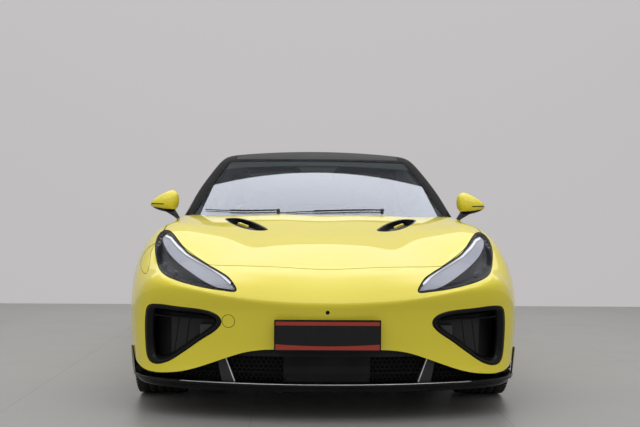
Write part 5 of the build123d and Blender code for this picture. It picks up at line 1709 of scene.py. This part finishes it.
def crowned(name, centre, size, tilt=0.0, square=3.2, rows=28):
    # a crowned block: a ball pushed towards a box, leaning back by tilt degrees
    u = np.linspace(-math.pi / 2, math.pi / 2, rows)
    v = angles(rows * 2)

    def power(a):
        return np.sign(a) * np.abs(a) ** (2 / square)

    verts = []
    for a in u:
        for b in v:
            out = power(math.cos(a))
            verts.append((out * power(math.cos(b)), out * power(math.sin(b)), power(math.sin(a))))
    q = np.array(verts) * np.array(size)
    t = math.radians(tilt)
    s, z = q[:, 1] * math.cos(t) + q[:, 2] * math.sin(t), -q[:, 1] * math.sin(t) + q[:, 2] * math.cos(t)
    q = np.column_stack([q[:, 0], s, z])
    return faceOut(makeMesh(name, q + np.array(centre), gridFaces(rows, rows * 2)))


# flush door handles and the inner trim
handles = prism(grown(handleOutline, -0.003), 0.5, 1.2, "x", True)
cardOutline = rounded([(1.625, 0.3), (2.76, 0.3), (2.795, 0.6), (2.795, 0.925), (1.64, 0.925)], 0.03)
for side, name in sides:
    grip = shellPatch(
        "grip", bodySkin, zone(s=(2.3, 2.9), z=(0.6, 9), out=(0.6, 9), side=side), 0.03, -0.001)
    combine(grip, [handles], "INTERSECT", keepTools=True)
    polish(grip, lambda p: lowerBody(p) + 0.001)
    onDoor(grip, name, "door_handle", "paint", "yellow_paint")
    card = prism(cardOutline, 0.801 * side, 0.8165 * side, "x")
    trimParts = [
        crowned("rest", (0.792 * side, 2.3, 0.64), (0.026, 0.31, 0.03), 0, 3.0, 18),
        crowned("pocket", (0.797 * side, 2.1, 0.38), (0.018, 0.34, 0.055), 0, 4.0, 18),
    ]
    onDoor(card, name, "door_card", "cabin", "black_trim")
    onDoor(joined(trimParts), name, "door_rest", "seat", "black_trim")
    speaker = lathe(
        "speaker",
        [(0.797 * side, 0.001), (0.795 * side, 0.06), (0.797 * side, 0.074), (0.801 * side, 0.078)], 40,
        (0, 1.8, 0.42))
    onDoor(speaker, name, "speaker", "satin", "black_trim")
drop(handles)
print("door trim made")

# seats
seat = {
    "x": 0.372, "cushion": (0.165, 0.215, 0.058), "back": (0.15, 0.046, 0.255), "lean": 15.0,
    "stitchGap": 0.011, "voxel": 0.0088, "pressure": 4.0, "capMovement": 0.012
}


def swell(obj):
    # stuffing: the remeshed cover is blown up as cloth, and no point moves further than the cap
    remesh = obj.modifiers.new("remesh", "REMESH")
    remesh.mode, remesh.voxel_size, remesh.use_smooth_shade = "VOXEL", seat["voxel"], True
    bake(obj)
    before = readVerts(obj.data)
    cloth = obj.modifiers.new("cloth", "CLOTH")
    cloth.settings.use_pressure = True
    cloth.settings.uniform_pressure_force = seat["pressure"]
    cloth.settings.effector_weights.gravity = 0
    cloth.settings.quality = 3
    cloth.point_cache.frame_start, cloth.point_cache.frame_end = 1, 20
    scene = bpy.context.scene
    for moment in range(1, 13):
        scene.frame_set(moment)
    graph = bpy.context.evaluated_depsgraph_get()
    mesh = bpy.data.meshes.new_from_object(obj.evaluated_get(graph))
    obj.modifiers.clear()
    after = readVerts(mesh)
    if len(after) == len(before):
        move = after - before
        far = np.linalg.norm(move, axis=1)[:, None]
        after = before + move * np.minimum(1, seat["capMovement"] / np.maximum(far, 1e-9))
        writeVerts(obj.data, after)
        obj.data.update()
    scene.frame_set(1)
    return obj


def stitches(name, cover, lines, way, body, slot, node):
    # thread laid on the cover where rays along way meet it
    mesh = cover.data
    tree = BVHTree.FromPolygons([v.co[:] for v in mesh.vertices], [p.vertices[:] for p in mesh.polygons])
    spots, turns = [], []
    for line in lines:
        p = np.array(line, float)
        run = np.concatenate([[0], np.cumsum(np.linalg.norm(np.diff(p, axis=0), axis=1))])
        for a in np.arange(0, run[-1], seat["stitchGap"]):
            q = [np.interp(a, run, p[:, k]) for k in range(3)]
            hit, normal, _, _ = tree.ray_cast(Vector((q[0], q[1] + noseY, q[2])), Vector(way))
            if hit is None:
                continue
            ahead = [np.interp(a + 0.004, run, p[:, k]) for k in range(3)]
            along = Vector((ahead[0] - q[0], ahead[1] - q[1], ahead[2] - q[2])).normalized()
            along = (along - normal * along.dot(normal)).normalized()
            spots.append((hit.x, hit.y - noseY, hit.z))
            turns.append(tuple(along.to_track_quat("X", "Z").to_euler()))
    thread = smallBox("thread", (0.0062, 0.0012, 0.0012))
    addPiece(repeat(name, thread, spots, turns, "thread"), name, None, body, slot, node)


x0 = seat["x"]
pads = [
    crowned("pad", (x0, 2.44, 0.41), seat["cushion"], -3, 3.4),
    crowned("pad", (x0 - 0.195, 2.44, 0.425), (0.046, 0.21, 0.072), -3, 2.8),
    crowned("pad", (x0 + 0.195, 2.44, 0.425), (0.046, 0.21, 0.072), -3, 2.8),
    crowned("pad", (x0, 2.728, 0.735), seat["back"], seat["lean"], 3.6),
    crowned("pad", (x0 - 0.19, 2.712, 0.715), (0.05, 0.066, 0.235), seat["lean"], 2.7),
    crowned("pad", (x0 + 0.19, 2.712, 0.715), (0.05, 0.066, 0.235), seat["lean"], 2.7),
    crowned("pad", (x0, 2.825, 1.07), (0.112, 0.04, 0.078), seat["lean"] - 4, 3.0),
]
cover = swell(joined(pads))
otherCover = mirrorCopy(cover, "cover")
sew = [[(x0 + dx, 2.27, 0.9), (x0 + dx, 2.6, 0.9)] for dx in (-0.142, 0.142)]
sewBack = [[(x0 + dx, 2.3, 0.53), (x0 + dx, 2.3, 0.94)] for dx in (-0.132, 0.132)]


def flip(lines, side):
    return [[(side * a, b, c) for a, b, c in line] for line in lines]


for side, hand in sides:
    obj = cover if side > 0 else otherCover
    stitches(f"{hand}_seat_stitches", obj, flip(sew, side), (0, 0, -1), *bodyCloth, "seats")
    stitches(f"{hand}_backrest_stitches", obj, flip(sewBack, side), (0, 1, 0), *bodyCloth, "seats")
    addPiece(obj, f"{hand}_seat_pads", "seat", *bodyCloth, "seats")
    shellParts = [
        crowned("shell", (side * x0, 2.782, 0.74), (0.238, 0.046, 0.33), seat["lean"], 3.4),
        crowned("shell", (side * x0, 2.47, 0.335), (0.225, 0.235, 0.052), -2, 4.0),
        crowned("shell", (side * x0, 2.862, 1.07), (0.1, 0.022, 0.08), seat["lean"] - 4, 3.4),
    ]
    rails = []
    for a in (side * x0 - 0.16, side * x0 + 0.16):
        rails.append(boxAt("rail", (a - 0.02, a + 0.02), (2.26, 2.76), (0.2765, 0.3), 0.004))
    addPiece(joined(shellParts), f"{hand}_seat_shell", "plastic", *bodyTrim, "seats")
    addPiece(joined(rails), f"{hand}_seat_rails", "darkSteel", "car_body", "steel", "seats")
rearPads = [
    crowned("pad", (0.3, 3.28, 0.405), (0.235, 0.195, 0.062), -5, 3.4),
    crowned("pad", (0.3, 3.5, 0.66), (0.232, 0.048, 0.2), 10, 3.6),
    crowned("pad", (0.3, 3.335, 0.34), (0.25, 0.2, 0.052), 0, 4.5),
]
rearCover = swell(joined(rearPads))
for obj, hand in ((rearCover, "left"), (mirrorCopy(rearCover, "cover"), "right")):
    addPiece(obj, f"{hand}_rear_pads", "seat", *bodyCloth, "seats")
addPiece(
    boxAt("tunnel", (-0.055, 0.055), (3.1, 3.555), (0.277, 0.44), 0.02), "rear_console", "cabin", "car_body",
    "dash", "seats")
print("seats made")

# dashboard, console and screens
dash = {
    "halfWidth": 0.675,
    "screen": ((-0.15, 0.15), (1.935, 1.957), (0.76, 0.925)),
    "gauge": ((0.235, 0.505), (1.925, 1.938), (0.862, 0.918)),
    "console": ((-0.109, 0.109), (1.83, 2.775), (0.2765, 0.512)),
}
section = rounded(
    [
        (1.46, 0.61), (1.46, 0.892), (1.62, 0.902), (1.86, 0.892), (1.945, 0.86), (1.952, 0.8),
        (1.87, 0.765), (1.85, 0.68), (1.79, 0.64)], [0.01, 0.02, 0.1, 0.1, 0.03, 0.02, 0.03, 0.04, 0.02], 5)
addPiece(prism(section, -dash["halfWidth"], dash["halfWidth"], "x"), "dash_pad", "cabin", *dashTrim)
addPiece(
    crowned("hoodlet", (0.37, 1.84, 0.9), (0.19, 0.1, 0.028), 6, 3.6, 20), "gauge_hood", "cabin", *dashTrim)
addPiece(
    joined([boxAt("screen", *dash["screen"], 0.006), boxAt("gauge", *dash["gauge"], 0.005)]), "screens",
    "gloss", *dashTrim)
addPiece(boxAt("console", *dash["console"], 0.028), "console_body", "cabin", *dashTrim)
rest = crowned("rest", (0.0, 2.61, 0.505), (0.094, 0.135, 0.026), 0, 3.6, 20)
bridge = boxAt("bridge", (-0.085, 0.085), (1.9, 1.985), (0.5, 0.76), 0.012)
addPiece(joined([rest, bridge]), "console_rest", "seat", *dashTrim)
tray = boxAt("tray", (-0.08, 0.08), (2.03, 2.44), (0.509, 0.517), 0.003)
knob = crowned("knob", (0.0, 2.15, 0.53), (0.022, 0.038, 0.02), 0, 3.0, 16)
roller = lathe(
    "wheel", [(-0.012, 0.001), (-0.012, 0.02), (0.012, 0.02), (0.012, 0.001)], 32, (0.045, 2.26, 0.512))
addPiece(joined([tray, knob, roller]), "console_controls", "gloss", *dashTrim)
slat = smallBox("slat", (0.088, 0.012, 0.0022))
airVents = {"places": (-0.56, -0.225, 0.225, 0.56), "slats": 6}
slats = [(x, 1.949, z) for x in airVents["places"] for z in np.linspace(0.808, 0.85, airVents["slats"])]
addPiece(
    repeat("vent_slats", slat, slats, [(0.35, 0, 0)] * len(slats), "satin"), "vent_slats", None, *dashTrim)
ventBoxes = []
for z in (0.798, 0.857):
    for x in airVents["places"]:
        ventBoxes.append(boxAt("vent", (x - 0.05, x + 0.05), (1.935, 1.9535), (z, z + 0.002), 0.0008))
addPiece(joined(ventBoxes), "vent_edges", "alloy", "car_body", "steel", "dashboard")

# steering wheel about its leaning column
spokeSection = [(-1, -0.006), (-1, 0.003), (-0.7, 0.006), (0.7, 0.006), (1, 0.003), (1, -0.006)]
steering = {"centre": (0.37, 2.06, 0.8), "lean": 20, "radius": 0.178}
centre = np.array(steering["centre"])
lean = math.radians(steering["lean"])
normal, up = radialAt(lean), np.array([0, -math.sin(lean), math.cos(lean)])
sideways = np.array([1.0, 0, 0])
ringPath = []
for a in angles(72):
    radial = sideways * math.cos(a) + up * math.sin(a)
    ringPath.append((centre + radial * steering["radius"], radial, normal))
addPiece(
    sweep("ring", ringPath, oval(0.0125, 0.015, 16), closed=True), "steering_ring", "leather",
    "steering_wheel", "rim_leather", "steering_wheel")
parts = []
for a in (0.0, math.pi, -math.pi / 2):
    radial = sideways * math.cos(a) + up * math.sin(a)
    side = np.cross(normal, radial)
    path = []
    for r, w in zip(np.linspace(0.045, 0.172, 8), (0.026, 0.021, 0.018, 0.016, 0.015, 0.015, 0.017, 0.021)):
        path.append((centre + radial * r - normal * 0.004 * math.cos((r - 0.05) * 20), side * w, normal))
    parts.append(sweep("spoke", path, spokeSection))
addPiece(joined(parts), "steering_spokes", "satin", "steering_wheel", "black_trim", "steering_wheel")
boss = crowned("boss", steering["centre"], (0.062, 0.021, 0.052), steering["lean"], 3.4, 24)
addPiece(boss, "steering_boss", "cabin", "steering_wheel", "rim_leather", "steering_wheel")
addPiece(
    tube("column", [centre - normal * 0.024, centre - normal * 0.22], 0.043, 32), "steering_column",
    "plastic", *dashTrim)
print("cabin made")

# pieces that stay as they come from the frame
frameFinish = {
    "floor_pan": "liner", "battery_pack": "castAlloy", "front_frame": "darkSteel", "trunk_tub": "roofCloth",
    "arch_liners": "liner", "suspension": "darkSteel", "drive_motor": "castAlloy", "left_knuckle": "steel",
    "right_knuckle": "steel"
}
for name, obj in frame["nodes"].items():
    chosen = finishes[frameFinish.get(name, "satin")]
    if obj.material_slots:
        for slot in obj.material_slots:
            slot.material = chosen
    else:
        obj.data.materials.append(chosen)

# studio: a tiled floor, a plain wall, ceiling panels
studio = {
    "wall": 4.2, "wallTop": 5.0, "reach": 14, "ceiling": 4.1, "tile": 1.2, "world": 0.62,
    "wallGrey": (0.5, 0.49, 0.495), "floorGrey": (0.335, 0.33, 0.32), "wallShown": (0.56, 0.545, 0.555),
    # lights: where, size, radiance
    "ceilingPanel": ((0.0, 3.02), (10.0, 2.25), 1.05),
    "overCar": ((0.2, -2.3), (5.2, 8.6), 1.65),
    "topLight": ((0.0, -0.4), (6.0, 6.5), 0.86),
    "fill": ((0.0, -4.6, 3.6), (7.0, 2.2), 0.85),
}


def stageSheet(name, corners, material):
    mesh = bpy.data.meshes.new(name)
    mesh.from_pydata(corners, [], [(0, 1, 2, 3)])
    mesh.materials.append(material)
    addObject(name, mesh)


ground = Finish("floorTile", Roughness=0.38)
spot = ground.node("ShaderNodeMapping", {}, {0: ground.position(), 1: (0.35, 0.2, 0.0)})
tile = ground.node(
    "ShaderNodeTexBrick", {"offset": 0.0},
    {
        "Vector": spot, "Scale": 1.0, "Mortar Size": 0.0022, "Mortar": (0.2, 0.195, 0.19),
        "Brick Width": studio["tile"], "Row Height": studio["tile"], "Color1": studio["floorGrey"],
        "Color2": studio["floorGrey"]
    })
ground.put("Base Color", ground.mix(ground.noise(0.8, 5.0) * 0.35, tile, (0.28, 0.275, 0.265)))
ground.put("Roughness", 0.34 + ground.noise(3.0, 5.0) * 0.12)
plaster = Finish("wallPaint", Roughness=0.8)
plaster.put(
    "Base Color", plaster.mix(plaster.noise(0.5, 3.0) * 0.2, studio["wallGrey"], (0.46, 0.45, 0.455)))
shown = plaster.node("ShaderNodeEmission", {}, {"Color": studio["wallShown"], "Strength": 1.0})
ways = plaster.node("ShaderNodeLightPath").socket.node.outputs
direct, glossy, clear = (
    Wire(plaster, ways[f"Is {kind} Ray"]) for kind in ("Camera", "Glossy", "Transmission"))
seen = (direct + glossy + clear).least(1.0)
blend = plaster.node(
    "ShaderNodeMixShader", {}, {0: seen * 0.85, 1: Wire(plaster, plaster.surface.outputs[0]), 2: shown})
# from behind the wall lets the view through
behind = plaster.node("ShaderNodeNewGeometry", {}, {}, "Backfacing")
through = plaster.node("ShaderNodeBsdfTransparent", {}, {"Color": (1, 1, 1, 1)})
oneWay = plaster.node("ShaderNodeMixShader", {}, {0: behind, 1: blend, 2: through})
plaster.tree.links.new(oneWay.socket, plaster.out.inputs[0])
far, wallY, top = studio["reach"], studio["wall"], studio["wallTop"]
stageSheet("floor", [(-far, -far, 0), (far, -far, 0), (far, far, 0), (-far, far, 0)], ground.material)
stageSheet(
    "wall", [(-far, wallY, 0), (far, wallY, 0), (far, wallY, top), (-far, wallY, top)], plaster.material)


def panelLight(name, where, size, radiance, aim=(0, 0, -1)):
    # a lit rectangle of even brightness
    light = bpy.data.lights.new(name, "AREA")
    light.shape, light.size, light.size_y = "RECTANGLE", size[0], size[1]
    light.energy = radiance * math.pi * size[0] * size[1]
    obj = addObject(name, light)
    obj.location = where
    obj.rotation_euler = Vector(aim).to_track_quat("-Z", "Y").to_euler()
    return obj


(x, y), size, radiance = studio["ceilingPanel"]
panelLight("ceiling", (x, y, studio["ceiling"]), size, radiance)
(x, y), size, radiance = studio["overCar"]
overCar = panelLight("over_car", (x, y, studio["ceiling"]), size, radiance)
overCar.visible_diffuse = False
(x, y), size, radiance = studio["topLight"]
topLight = panelLight("top_light", (x, y, studio["ceiling"] - 0.05), size, radiance)
topLight.visible_glossy = False
where, size, radiance = studio["fill"]
panelLight("front_fill", where, size, radiance, (0, 4.6, -2.6))
world = bpy.data.worlds.new("studio")
world.use_nodes = True
world.node_tree.nodes["Background"].inputs[0].default_value = (1.0, 0.99, 0.985, 1)
world.node_tree.nodes["Background"].inputs[1].default_value = studio["world"]
bpy.context.scene.world = world
bpy.context.scene.view_settings.view_transform = "Standard"

# camera
view = {"place": (-0.161, -6.8875, 0.92), "yaw": 1.54, "pitch": 0.49, "roll": 0.45, "lens": 56.25}
camera = bpy.data.cameras.new("camera")
camera.lens = view["lens"]
eye = addObject("camera", camera)
yaw, pitch, roll = (math.radians(view[k]) for k in ("yaw", "pitch", "roll"))
ahead = Vector((math.sin(yaw) * math.cos(pitch), math.cos(yaw) * math.cos(pitch), math.sin(pitch)))
right = Vector((math.cos(yaw), -math.sin(yaw), 0))
upward = right.cross(ahead)
r = right * math.cos(roll) + upward * math.sin(roll)
u = upward * math.cos(roll) - right * math.sin(roll)
px, py, pz = view["place"]
eye.matrix_world = Matrix(
    ((r.x, u.x, -ahead.x, px), (r.y, u.y, -ahead.y, py), (r.z, u.z, -ahead.z, pz), (0, 0, 0, 1)))
bpy.context.scene.camera = eye
print("studio set")

# leftover tools go
for obj in list(bpy.data.objects):
    if obj.name.startswith("tool") or obj.name.startswith("copy"):
        bpy.data.objects.remove(obj)
